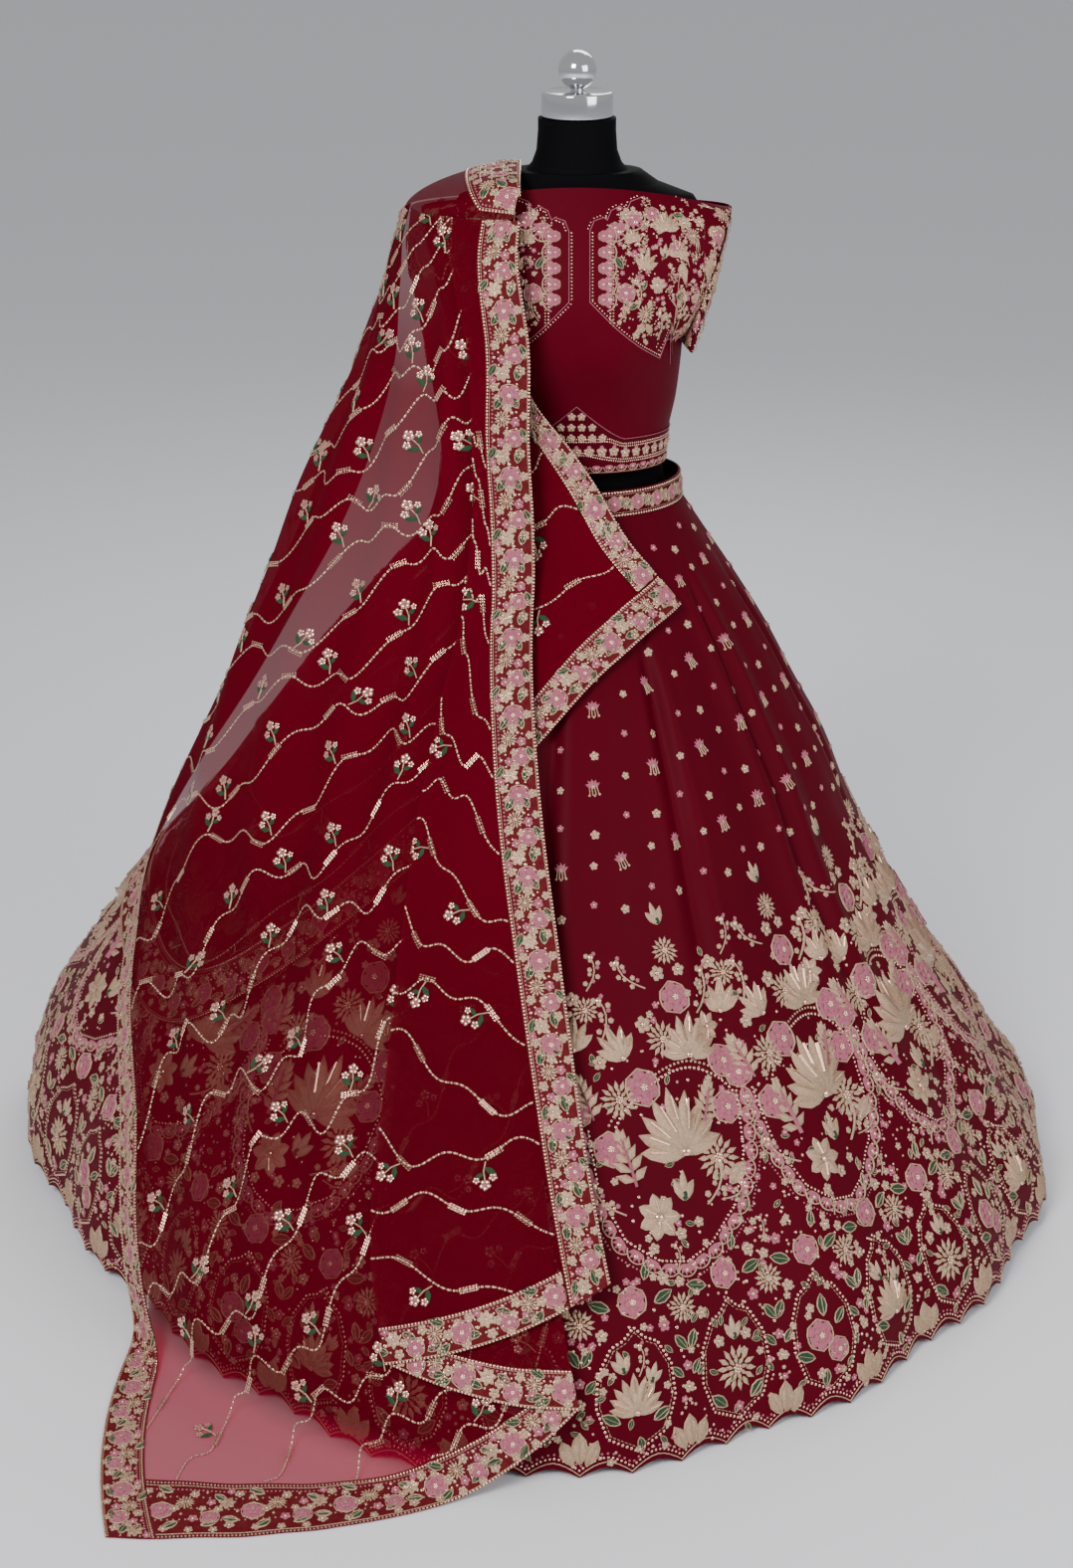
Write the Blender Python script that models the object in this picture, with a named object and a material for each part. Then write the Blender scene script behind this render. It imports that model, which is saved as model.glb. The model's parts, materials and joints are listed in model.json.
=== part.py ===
"""Lehenga choli on a limbless dress form: flared skirt, boat-neck blouse and a bordered net dupatta.

Metres, +Z up, +X to the wearer's left as seen from the front, front towards -Y.
The origin is the centre of the stand's underside, on the floor.
An angle is measured round the upright axis: 0 is the front, 90 is +X and -90 is -X.
"""
import math

import bpy
import bmesh
import numpy as np


def table(columns, *rows):
    """Named columns of a short table, one row for each section, fold or station."""
    return dict(zip(columns.split(), np.array(rows, dtype=float).T))


def read(rows, key, column, at):
    """Smooth value of a column where the key column has the value at."""
    keys, values = rows[key], rows[column]
    if keys[0] > keys[-1]:
        keys, values = keys[::-1], values[::-1]
    slopes = np.gradient(values, keys)
    at = min(max(at, keys[0]), keys[-1])
    i = min(int(np.searchsorted(keys, at, side="right")) - 1, len(keys) - 2)
    span = keys[i + 1] - keys[i]
    t = (at - keys[i]) / span
    start, end = slopes[i] * span, slopes[i + 1] * span
    rise = values[i + 1] - values[i]
    return values[i] + t * start + t * t * (3 * rise - 2 * start - end) + t ** 3 * (start + end - 2 * rise)


def mix(a, b, t):
    return a + (b - a) * t


def ease(low, high, value):
    """0 below low, 1 above high and smooth between."""
    t = min(max((value - low) / (high - low), 0.0), 1.0)
    return t * t * (3 - 2 * t)


# Cloth walls and the gap between pieces
SKIRT_WALL = 0.0020
CHOLI_WALL = 0.0015
NET_WALL = 0.0012
BAND_WALL = 0.0010
SEAM_GAP = 0.0003
BELOW_CENTRE = 0.2

# Dress form
SHOULDER_SEAT = 0.085
NECK_TOP = 1.5160
TORSO_SIDES = 28
TORSO = table(
    "height half_width front back",
    (0.700, 0.118, 0.082, 0.088),
    (0.712, 0.148, 0.106, 0.113),
    (0.780, 0.166, 0.118, 0.125),
    (0.860, 0.168, 0.120, 0.127),
    (0.940, 0.156, 0.110, 0.119),
    (0.990, 0.139, 0.098, 0.1045),
    (1.026, 0.124, 0.090, 0.1016),
    (1.062, 0.118, 0.086, 0.092),
    (1.105, 0.1250, 0.090, 0.090),
    (1.150, 0.127, 0.100, 0.094),
    (1.200, 0.131, 0.113, 0.098),
    (1.245, 0.134, 0.118, 0.101),
    (1.300, 0.139, 0.108, 0.100),
    (1.345, 0.149, 0.094, 0.094),
    (1.380, 0.160, 0.078, 0.082),
    (1.400, 0.165, 0.068, 0.074),
    (1.417, 0.154, 0.060, 0.066),
    (1.434, 0.108, 0.057, 0.060),
    (1.4499, SHOULDER_SEAT, 0.055, 0.056),
    (1.4503, 0.067, 0.053, 0.054),
    (1.459, 0.059, 0.052, 0.052),
    (1.475, 0.053, 0.051, 0.051),
    (1.500, 0.051, 0.050, 0.050),
)
CAP_RADIUS = 0.047
CAP_HEIGHT = 0.033
BALL_RADIUS = 0.025
POLE_RADIUS = 0.016
BASE_RADIUS = 0.190
BASE_HEIGHT = 0.022

# Blouse: rows from hem to neckline, the armhole starts at row UNDERARM_ROW
UNDERARM_ROW = 4
TOP_ROW = 8
SIDE_SEAM = table(
    "row x z",
    (0, 0.123, 1.062),
    (1, 0.1270, 1.105),
    (2, 0.136, 1.150),
    (3, 0.141, 1.195),
    (4, 0.144, 1.235),
)
CHOLI_FRONT = table(
    "row depth height",
    (0, 0.104, 1.066),
    (1, 0.103, 1.108),
    (2, 0.110, 1.158),
    (3, 0.122, 1.212),
    (4, 0.127, 1.256),
    (5, 0.125, 1.298),
    (6, 0.112, 1.342),
    (7, 0.090, 1.388),
    (8, 0.066, 1.436),
)
CHOLI_BACK = table(
    "row depth height",
    (0, 0.104, 1.066),
    (1, 0.100, 1.106),
    (2, 0.104, 1.150),
    (3, 0.108, 1.196),
    (4, 0.110, 1.236),
    (5, 0.108, 1.276),
    (6, 0.106, 1.316),
    (7, 0.099, 1.358),
    (8, 0.086, 1.400),
)
ARMHOLE_CENTRE = (0.1735, 0.0, 1.3185)
ARMHOLE_RISE = (0.0295, 0.0, 0.0835)
ARMHOLE_DEPTH = 0.060
CUFF_CENTRE = (0.1500, 0.0, 1.220)
CUFF_RISE = (0.0060, 0.0, -0.0040)
CUFF_DEPTH = 0.058
SLEEVE_BULGE = 0.003
BUST = dict(x=0.062, z=1.232, width=0.050, height=0.055, out=0.012)
HEM_BAND_SIDE = 1.10
HEM_BAND_PEAK = 0.95
HEM_BAND_PEAK_WIDTH = 30.0

# Skirt: waist ring, hem reach by angle, flare by height and the folds round it
WAIST_TOP = 1.047
WAIST_MIDDLE = 1.026
WAIST_SEAM = 1.010
WAIST = dict(side=0.148, front=0.130, back=0.106)
WAISTBAND_TOP_IN = 0.004
WAISTBAND_SIDES = 40
SCALLOPS = 80
SCALLOP_DEPTH = 0.013
HEM_HEIGHT = 0.0012
HEM_REACH = table(
    "angle reach",
    (-180, 0.610),
    (-140, 0.700),
    (-98, 0.857),
    (-75, 0.794),
    (-55, 0.762),
    (-30, 0.804),
    (-6, 0.856),
    (14, 0.804),
    (36, 0.750),
    (64, 0.724),
    (90, 0.716),
    (135, 0.665),
    (180, 0.610),
)
FLARE = table(
    "height right left",
    (1.010, 0.000, 0.000),
    (0.975, 0.040, 0.040),
    (0.903, 0.126, 0.135),
    (0.830, 0.208, 0.225),
    (0.741, 0.293, 0.325),
    (0.665, 0.368, 0.405),
    (0.573, 0.435, 0.500),
    (0.479, 0.520, 0.612),
    (0.398, 0.600, 0.708),
    (0.325, 0.680, 0.796),
    (0.252, 0.773, 0.872),
    (0.167, 0.866, 0.945),
    (0.082, 0.960, 0.984),
    (0.000, 1.000, 1.000),
)
HEM_LIFT = dict(side=0.018, back=0.012)
FOLD_MAX = 0.024
FOLDS = table(
    "angle depth width",
    (-172, 0.020, 10.0),
    (-149, 0.024, 11.0),
    (-126, 0.021, 10.0),
    (-104, 0.023, 10.0),
    (-82, 0.020, 9.0),
    (-61, 0.024, 9.5),
    (-40, 0.019, 9.0),
    (-17, 0.023, 10.0),
    (6, 0.020, 9.0),
    (28, 0.024, 9.0),
    (50, 0.021, 9.5),
    (71, 0.024, 9.0),
    (92, 0.019, 9.0),
    (114, 0.023, 10.0),
    (137, 0.021, 10.0),
    (161, 0.024, 10.5),
)

# Dupatta: rings of the hanging net over the body, then down the lines of its edges and folds
BAND_WIDTH = 0.055
BAND_CELLS = 2
BAND_SEAM_CELL = 0.03
SWEEP_CELLS = 24
UPPER_CELLS = 6
DOME_CELLS = 6
WRAP_CELLS = 20
WRAP_ROWS = 11
BACK_CELLS = 8
BACK_ROWS = 11
WRAP_CLEAR = 0.014
SWEEP_CLEAR = 0.023
FLOOR_ROUNDING = 0.020
SHOULDER_RIM = 1.4005
FLOOR_GAP = 0.0002
RING_BLEND = 0.010
TENT = table(
    "height front left back",
    (1.400, 0.116, 0.226, 0.113),
    (1.358, 0.144, 0.241, 0.140),
    (1.300, 0.163, 0.256, 0.152),
    (1.250, 0.168, 0.274, 0.154),
    (1.185, 0.171, 0.294, 0.158),
    (1.100, 0.175, 0.333, 0.163),
    (1.032, 0.180, 0.366, 0.172),
    (0.918, 0.215, 0.412, 0.200),
    (0.800, 0.270, 0.465, 0.240),
    (0.681, 0.330, 0.514, 0.290),
    (0.541, 0.400, 0.578, 0.350),
    (0.447, 0.460, 0.619, 0.400),
    (0.300, 0.520, 0.660, 0.440),
    (0.000, 0.600, 0.700, 0.500),
)
UNDER = table(
    "height front left back",
    (1.400, 0.106, 0.219, 0.112),
    (1.350, 0.132, 0.224, 0.137),
    (1.300, 0.146, 0.219, 0.140),
    (1.250, 0.152, 0.210, 0.138),
    (1.150, 0.152, 0.192, 0.132),
    (1.050, 0.154, 0.184, 0.132),
    (0.990, 0.164, 0.196, 0.136),
    (0.900, 0.180, 0.230, 0.150),
    (0.000, 0.500, 0.500, 0.400),
)
DRAPE_LINES = table(
    "station edge_q edge_angle fold1_q fold1_angle fold2_q fold2_angle far_q far_angle",
    (0, 1.3997, -32.5, 1.3997, -62.0, 1.3997, -48.0, 1.3997, -97.0),
    (1, 1.270, -20.0, 1.270, -44.0, 1.270, -32.0, 1.220, -108.0),
    (2, 1.120, -18.5, 1.120, -39.0, 1.120, -26.0, 1.040, -110.0),
    (3, 0.960, -14.5, 0.960, -36.0, 0.960, -21.0, 0.840, -107.0),
    (4, 0.800, -9.0, 0.790, -31.5, 0.790, -16.0, 0.640, -101.0),
    (5, 0.640, -4.5, 0.610, -27.5, 0.610, -11.0, 0.445, -86.0),
    (6, 0.500, -1.5, 0.440, -23.5, 0.430, -5.5, 0.238, -60.0),
    (7, 0.360, 0.7, 0.265, -20.3, 0.250, -2.4, -0.020, -46.3),
    (8, 0.232, 2.8, 0.140, -16.5, 0.105, -0.1, -0.275, -30.8),
)
LAST_STATION = 8
END_BAND_STATION = 7.70
LAYER_STEP = 0.0036
LAYER_STEP_TOP = 0.0028
LAYER_LIFT = 0.006
UPPER_LIFT = 0.004
SWEEP_FOLDS = 6
SWEEP_FOLD_DEPTH = 0.012
DOME_EDGE_X = -0.073
DOME_RISE = 0.050
DOME_HALF_DEPTH = 0.112
DOME_ANGLES = (-37.0, -139.0)
DOME_SLOPE = 1.3
WRAP_END = table(
    "along q angle",
    (0.00, 0.908, 38.0),
    (0.12, 0.953, 31.0),
    (0.25, 1.000, 21.5),
    (0.38, 1.060, 10.0),
    (0.50, 1.115, -4.0),
    (0.62, 1.165, -19.0),
    (0.80, 1.275, -40.0),
    (1.00, 1.3995, -60.0),
)
WRAP_HEM = table(
    "along q angle",
    (0.00, 0.908, 38.0),
    (0.12, 0.874, 17.5),
    (0.21, 0.830, 2.2),
    (0.29, 0.765, -9.5),
    (0.38, 0.664, -23.5),
    (0.46, 0.552, -36.5),
    (0.54, 0.442, -48.5),
    (0.62, 0.355, -59.5),
    (0.75, 0.370, -80.0),
    (0.87, 0.430, -102.0),
    (1.00, 0.480, -124.0),
)
WRAP_SEAM_TOP = (1.3995, -118.0)
WRAP_END_BAND_SHARE = (0.044, 0.15)
WRAP_HEM_BAND_SHARE = (0.095, 0.050)
BACK_HEM_BAND_SHARE = 0.050
BACK_EDGE = table(
    "along q angle",
    (0.0, 0.440, -186.0),
    (0.2, 0.600, -176.0),
    (0.4, 0.790, -167.0),
    (0.6, 0.990, -158.0),
    (0.8, 1.200, -150.0),
    (1.0, 1.3995, -143.0),
)


def polar(angle, radius, height):
    turn = math.radians(angle)
    return np.array((radius * math.sin(turn), -radius * math.cos(turn), height))


def ring_radius(angle, front, side, back):
    """Radius of an oval with its own depth in front and behind, at an angle."""
    turn = math.radians(angle)
    depth = front if math.cos(turn) > 0 else back
    return 1.0 / math.hypot(math.sin(turn) / side, math.cos(turn) / depth)


def finish(name, mesh, material, smooth_angle):
    """Give a mesh its object, its material and smooth shading."""
    data = bpy.data.meshes.new(name)
    bmesh.ops.recalc_face_normals(mesh, faces=mesh.faces[:])
    mesh.to_mesh(data)
    mesh.free()
    data.materials.append(material)
    data.shade_smooth()
    data.set_sharp_from_angle(angle=math.radians(smooth_angle))
    thing = bpy.data.objects.new(name, data)
    bpy.context.collection.objects.link(thing)
    return thing


def material(name, colour, roughness, metallic=0.0, sheen=0.0):
    """One Principled material."""
    made = bpy.data.materials.new(name)
    made.use_nodes = True
    shader = made.node_tree.nodes["Principled BSDF"]
    shader.inputs["Base Color"].default_value = (*colour, 1.0)
    shader.inputs["Roughness"].default_value = roughness
    shader.inputs["Metallic"].default_value = metallic
    shader.inputs["Sheen Weight"].default_value = sheen
    made.diffuse_color = (*colour, 1.0)
    return made


def outward(surface, u, v, limits):
    """Unit normal of a surface at (u, v), taken inside its limits."""
    step_u = (limits[1] - limits[0]) * 0.002
    step_v = (limits[3] - limits[2]) * 0.002
    along_u = surface(min(u + step_u, limits[1]), v) - surface(max(u - step_u, limits[0]), v)
    along_v = surface(u, min(v + step_v, limits[3])) - surface(u, max(v - step_v, limits[2]))
    normal = np.cross(along_v, along_u)
    return normal / np.linalg.norm(normal)


def wall(name, surface, rows, thickness, finish_with, ring=False, lift=0.0, smooth_angle=60):
    """Closed cloth wall over rows of (u, v) places: the outer face lies lift outside the surface.

    A row may have twice the cells of the row above it, which then meet in five-sided faces.
    """
    limits = (
        min(u for row in rows for u, v in row), max(u for row in rows for u, v in row),
        min(v for row in rows for u, v in row), max(v for row in rows for u, v in row),
    )
    points = [[surface(u, v) for u, v in row] for row in rows]
    normals = [[outward(surface, u, v, limits) for u, v in row] for row in rows]
    centre = np.mean([p for row in points for p in row], axis=0)
    if not ring:
        centre = np.array((0.0, 0.0, centre[2] - BELOW_CENTRE))
    facing = sum(np.dot(n, p - centre) for a, b in zip(points, normals) for p, n in zip(a, b))
    side = 1.0 if facing > 0 else -1.0
    mesh = bmesh.new()
    outer, inner = [], []
    for row, row_normals in zip(points, normals):
        outer.append([mesh.verts.new(p + n * side * lift) for p, n in zip(row, row_normals)])
        inner.append([mesh.verts.new(p + n * side * (lift - thickness)) for p, n in zip(row, row_normals)])
    for sheet in (outer, inner):
        for upper, lower in zip(sheet, sheet[1:]):
            cells = len(upper) if ring else len(upper) - 1
            ratio = (len(lower) if ring else len(lower) - 1) // cells
            for i in range(cells):
                below = [lower[(i * ratio + k) % len(lower)] for k in range(ratio + 1)]
                mesh.faces.new([upper[(i + 1) % len(upper)], upper[i], *below])
    for row in (0, -1):
        count = len(outer[row])
        for i in range(count if ring else count - 1):
            j = (i + 1) % count
            mesh.faces.new([outer[row][i], outer[row][j], inner[row][j], inner[row][i]])
    if not ring:
        for end in (0, -1):
            for k in range(len(rows) - 1):
                mesh.faces.new([outer[k][end], outer[k + 1][end], inner[k + 1][end], inner[k][end]])
    return finish(name, mesh, finish_with, smooth_angle)


def turned(name, profile, sides, finish_with):
    """Solid of revolution from (radius, height) points, bottom to top, with flat end faces."""
    mesh = bmesh.new()
    rings = []
    for radius, height in profile:
        rings.append([mesh.verts.new(polar(360.0 * i / sides, radius, height)) for i in range(sides)])
    for lower, upper in zip(rings, rings[1:]):
        for i in range(sides):
            j = (i + 1) % sides
            mesh.faces.new([lower[i], lower[j], upper[j], upper[i]])
    mesh.faces.new(rings[0])
    mesh.faces.new(rings[-1])
    return finish(name, mesh, finish_with, 35)


def spaced(start, end, count):
    """Evenly spaced values, both ends included."""
    return [float(value) for value in np.linspace(start, end, count)]


# Skirt surface
def flare(angle, height):
    """Share of the way from waist to hem that the skirt has spread at a height."""
    lean = 0.5 - 0.5 * math.sin(math.radians(angle))
    return mix(read(FLARE, "height", "right", height), read(FLARE, "height", "left", height), lean)


def fold_height(angle):
    """Height of the soft folds above the creases between them, at full depth."""
    away = (angle - FOLDS["angle"] + 180.0) % 360.0 - 180.0
    return float(np.max(FOLDS["depth"] * np.exp(-(away / FOLDS["width"]) ** 2)))


def skirt_reach(angle, height, fold):
    """Radius of the skirt with a given fold height."""
    turn = (angle + 180.0) % 360.0 - 180.0
    waist = ring_radius(turn, WAIST["front"], WAIST["side"], WAIST["back"])
    spread = min(max(flare(turn, height), 0.0), 1.0)
    return mix(waist, read(HEM_REACH, "angle", "reach", turn) - FOLD_MAX, spread) + fold * spread ** 0.8


def hem_lift(angle):
    """How far the hem hangs above the floor."""
    turn = math.radians(angle)
    return HEM_LIFT["side"] * math.sin(turn) ** 4 + HEM_LIFT["back"] * max(-math.cos(turn), 0.0) ** 2


def skirt(angle, height):
    fall = 1.0 - height / WAIST_SEAM
    return polar(angle, skirt_reach(angle, height, fold_height(angle)), height + hem_lift(angle) * fall ** 3)


# Dupatta surfaces: q is the height on the body, and below zero the way out over the floor
def place(angle, q, rings, skirt_clear, clear):
    """Point of the net at an angle and a length q, outside its rings and the skirt."""
    height = 0.5 * (q + math.hypot(q, FLOOR_ROUNDING))
    sizes = [read(rings, "height", column, height) for column in ("front", "left", "back")]
    body = ring_radius(angle, *sizes)
    over_skirt = 0.0
    if height < WAIST_SEAM:
        before_lift = height - hem_lift(angle) * (1.0 - height / WAIST_SEAM) ** 3
        over_skirt = skirt_reach(angle, before_lift, FOLD_MAX) + skirt_clear
    radius = 0.5 * (body + over_skirt + math.hypot(body - over_skirt, RING_BLEND))
    return polar(angle, radius + clear + height - q, height + NET_WALL + FLOOR_GAP)


def line(name, station):
    """Length q and angle of one edge or fold of the hanging net."""
    q = read(DRAPE_LINES, "station", name + "_q", station)
    return np.array((q, read(DRAPE_LINES, "station", name + "_angle", station)))


def band_share(start, end, rings, skirt_clear):
    """Share of the way from start to end that a border takes, both as (q, angle)."""
    here = place(start[1], start[0], rings, skirt_clear, 0.0)
    there = place(end[1], end[0], rings, skirt_clear, 0.0)
    arc = math.radians(abs(end[1] - start[1])) * math.hypot(here[0], here[1])
    return min(BAND_WIDTH / max(arc, float(np.linalg.norm(there - here))), 0.8)


def over_band(cell, cells, share):
    """Share of the way at a cell, where the first BAND_CELLS cells make the border."""
    if cell <= BAND_CELLS:
        return share * cell / BAND_CELLS
    return share + (1.0 - share) * (cell - BAND_CELLS) / (cells - BAND_CELLS)


def layer_step(station):
    return mix(LAYER_STEP_TOP, LAYER_STEP, ease(0.0, 1.0, station))


def sweep(cell, station):
    """Widest stretch, from the far edge (cell 0) to the second fold, down the skirt and over the floor."""
    far, fold = line("far", station), line("fold2", station)
    share = over_band(cell, SWEEP_CELLS, band_share(far, fold, TENT, SWEEP_CLEAR))
    q, angle = mix(far, fold, share)
    first = line("fold1", station)
    covered = (first[1] - fold[1]) / (far[1] - fold[1])
    free = ease(0.0, 0.12, 1.0 - share - covered)
    swell = 0.5 - 0.5 * math.cos(2.0 * math.pi * SWEEP_FOLDS * (1.0 - share))
    depth = SWEEP_FOLD_DEPTH * ease(0.0, 2.0, station) * (1.0 - 0.8 * ease(6.0, 7.5, station))
    return place(angle, q, TENT, SWEEP_CLEAR, depth * swell * free)


def fold_layer(share, station):
    """Middle layer of the pleat, from the second fold (share 0) to the first."""
    q, angle = mix(line("fold2", station), line("fold1", station), share)
    lift = LAYER_LIFT * ease(0.0, 0.35, share) * ease(0.0, 1.0, station)
    return place(angle, q, TENT, SWEEP_CLEAR, layer_step(station) + lift)


def upper(cell, station):
    """Top layer of the pleat, from the inner edge of the dupatta (cell 0) to the first fold."""
    edge, fold = line("edge", station), line("fold1", station)
    share = over_band(cell, UPPER_CELLS, band_share(edge, fold, TENT, SWEEP_CLEAR))
    q, angle = mix(edge, fold, share)
    lift = ease(0.0, 1.0, station) * (LAYER_LIFT + UPPER_LIFT * math.sin(math.pi * share))
    return place(angle, q, TENT, SWEEP_CLEAR, 2.0 * layer_step(station) + lift)


def shoulder(angle, cell):
    """Net over the shoulder, from its inner edge (cell 0) to the rim that the hanging stretches join."""
    rim = place(angle, SHOULDER_RIM, TENT, SWEEP_CLEAR, 0.0)
    arch = DOME_RISE * (1.0 - (abs(rim[1]) / DOME_HALF_DEPTH) ** 4) ** 0.25
    reach = DOME_EDGE_X - rim[0]
    share = over_band(cell, DOME_CELLS, min(BAND_WIDTH / max(reach + arch * 0.3, BAND_WIDTH), 0.8))
    turn = share * math.pi / 2.0
    return np.array((DOME_EDGE_X - reach * math.sin(turn), rim[1], rim[2] + arch * math.cos(turn) ** DOME_SLOPE))


def wrap(cell, row):
    """Stretch under the front ones, from the corner pinned at the waist round to the back."""
    across, up = cell / WRAP_CELLS, row / WRAP_ROWS
    s = over_band(cell, WRAP_CELLS, mix(*WRAP_END_BAND_SHARE, up))
    v = over_band(row, WRAP_ROWS, mix(*WRAP_HEM_BAND_SHARE, across))
    hem = np.array([read(WRAP_HEM, "along", column, s) for column in ("q", "angle")])
    end = np.array([read(WRAP_END, "along", column, v) for column in ("q", "angle")])
    corner = np.array((WRAP_HEM["q"][0], WRAP_HEM["angle"][0]))
    low = np.array((WRAP_HEM["q"][-1], WRAP_HEM["angle"][-1]))
    high = np.array((WRAP_END["q"][-1], WRAP_END["angle"][-1]))
    seam_top = np.array(WRAP_SEAM_TOP)
    top, seam = mix(high, seam_top, s), mix(low, seam_top, v)
    flat = mix(mix(corner, low, s), top, v)
    q, angle = mix(hem, top, v) + mix(end, seam, s) - flat
    return place(angle, q, UNDER, WRAP_CLEAR, 0.0)


def back(cell, row):
    """Stretch down the back, from the dupatta's inner edge (cell 0) to the seam with the wrap."""
    v = over_band(row, BACK_ROWS, BACK_HEM_BAND_SHARE)
    edge = np.array([read(BACK_EDGE, "along", column, v) for column in ("q", "angle")])
    low = np.array((WRAP_HEM["q"][-1], WRAP_HEM["angle"][-1]))
    seam = mix(low, np.array(WRAP_SEAM_TOP), v)
    seam_gap = math.degrees(SEAM_GAP / place(seam[1], seam[0], UNDER, WRAP_CLEAR, 0.0)[1])
    seam = seam - np.array((0.0, abs(seam_gap)))
    share = over_band(cell, BACK_CELLS, band_share(edge, seam, UNDER, WRAP_CLEAR))
    q, angle = mix(edge, seam, share)
    return place(angle, q, UNDER, WRAP_CLEAR, 0.0)


# Blouse surfaces
def choli_edge(row):
    """Side of a blouse panel at a row: the side seam, then the armhole. Depth is in front or behind."""
    if row < UNDERARM_ROW:
        return read(SIDE_SEAM, "row", "x", row), 0.0, read(SIDE_SEAM, "row", "z", row)
    turn = math.pi * (row - UNDERARM_ROW) / (TOP_ROW - UNDERARM_ROW)
    x = ARMHOLE_CENTRE[0] - ARMHOLE_RISE[0] * math.cos(turn)
    z = ARMHOLE_CENTRE[2] - ARMHOLE_RISE[2] * math.cos(turn)
    return x, ARMHOLE_DEPTH * math.sin(turn), z


def choli_panel(rows, facing):
    """Surface of the front (facing -1) or the back (facing 1) of the blouse."""
    def surface(angle, row):
        x, side_depth, z = choli_edge(row)
        turn = math.radians(angle)
        depth = read(rows, "row", "depth", row)
        out = side_depth + (depth - side_depth) * math.cos(turn)
        place_x = x * math.sin(turn)
        height = mix(read(rows, "row", "height", row), z, math.sin(turn) ** 2)
        if facing < 0:
            away = math.hypot((abs(place_x) - BUST["x"]) / BUST["width"], (height - BUST["z"]) / BUST["height"])
            out += BUST["out"] * math.exp(-away * away)
        return np.array((place_x, facing * max(out, SEAM_GAP / 2.0), height))
    return surface


def hem_band_top(angle, peak):
    """Row where the blouse's hem band ends, pointed at the middle of the front."""
    return HEM_BAND_SIDE + peak * max(0.0, 1.0 - abs(angle) / HEM_BAND_PEAK_WIDTH) ** 1.3


def sleeve_surface(side):
    """Short sleeve that hangs flat: turn 0 is the underarm, share 0 the armhole and 1 the cuff."""
    def surface(turn_angle, share):
        turn = math.radians(turn_angle)
        armhole = (np.array(ARMHOLE_CENTRE) - np.array(ARMHOLE_RISE) * math.cos(turn)
                   - np.array((0.0, ARMHOLE_DEPTH, 0.0)) * math.sin(turn))
        cuff = (np.array(CUFF_CENTRE) - np.array(CUFF_RISE) * math.cos(turn)
                - np.array((0.0, CUFF_DEPTH, 0.0)) * math.sin(turn))
        swell = SLEEVE_BULGE * math.sin(math.pi * share)
        point = mix(armhole, cuff, share) + swell * np.array((max(-math.cos(turn), 0.0), -math.sin(turn), 0.0))
        away = np.array((ARMHOLE_RISE[2], 0.0, -ARMHOLE_RISE[0]))
        point = point + (SEAM_GAP + CHOLI_WALL) * away / np.linalg.norm(away)
        return point * np.array((side, 1.0, 1.0))
    return surface


def torso_ring(height):
    half_width, front, back_depth = (
        read(TORSO, "height", column, height) for column in ("half_width", "front", "back"))
    turns = [360.0 * i / TORSO_SIDES for i in range(TORSO_SIDES)]
    return [(half_width * math.sin(math.radians(turn)),
             -(front if math.cos(math.radians(turn)) > 0 else back_depth) * math.cos(math.radians(turn)),
             height) for turn in turns]


def clear_scene():
    for thing in list(bpy.data.objects):
        bpy.data.objects.remove(thing, do_unlink=True)


def make_form():
    """Black torso with a chrome cap and ball, on a pole and a round base."""
    black = material("black_stretch_cloth", (0.012, 0.012, 0.014), 0.55, sheen=0.2)
    chrome = material("polished_chrome", (0.75, 0.75, 0.76), 0.12, metallic=1.0)
    mesh = bmesh.new()
    heights = [float(height) for height in TORSO["height"]] + [NECK_TOP]
    rings = [[mesh.verts.new(point) for point in torso_ring(height)] for height in heights[:-1]]
    rings.append([mesh.verts.new((x, y, NECK_TOP)) for x, y, z in torso_ring(heights[-2])])
    for lower, higher in zip(rings, rings[1:]):
        for i in range(TORSO_SIDES):
            j = (i + 1) % TORSO_SIDES
            mesh.faces.new([lower[i], lower[j], higher[j], higher[i]])
    mesh.faces.new(rings[0])
    mesh.faces.new(rings[-1])
    finish("form_torso", mesh, black, 50)
    cap_foot = NECK_TOP + SEAM_GAP
    cap_top = cap_foot + CAP_HEIGHT
    bevel = 0.003
    turned("form_neck_cap", [
        (CAP_RADIUS - bevel, cap_foot), (CAP_RADIUS, cap_foot + bevel),
        (CAP_RADIUS, cap_top - bevel), (CAP_RADIUS - bevel, cap_top)], 40, chrome)
    stem = 0.009
    ball_foot = cap_top + SEAM_GAP
    centre = ball_foot + 0.003 + BALL_RADIUS * math.cos(math.asin(stem / BALL_RADIUS))
    tilts = [mix(math.asin(stem / BALL_RADIUS), math.radians(172), i / 9) for i in range(10)]
    profile = [(stem, ball_foot)]
    profile += [(BALL_RADIUS * math.sin(t), centre - BALL_RADIUS * math.cos(t)) for t in tilts]
    turned("form_neck_ball", profile, 28, chrome)
    torso_foot = float(TORSO["height"][0])
    collar = 0.030
    turned("form_pole", [
        (POLE_RADIUS, BASE_HEIGHT + SEAM_GAP), (POLE_RADIUS, torso_foot - 0.03),
        (collar, torso_foot - 0.02), (collar, torso_foot - SEAM_GAP)], 20, chrome)
    turned("form_base", [
        (BASE_RADIUS, 0.0), (BASE_RADIUS, 0.008), (BASE_RADIUS - 0.006, 0.012),
        (collar, BASE_HEIGHT)], 48, chrome)


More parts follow.
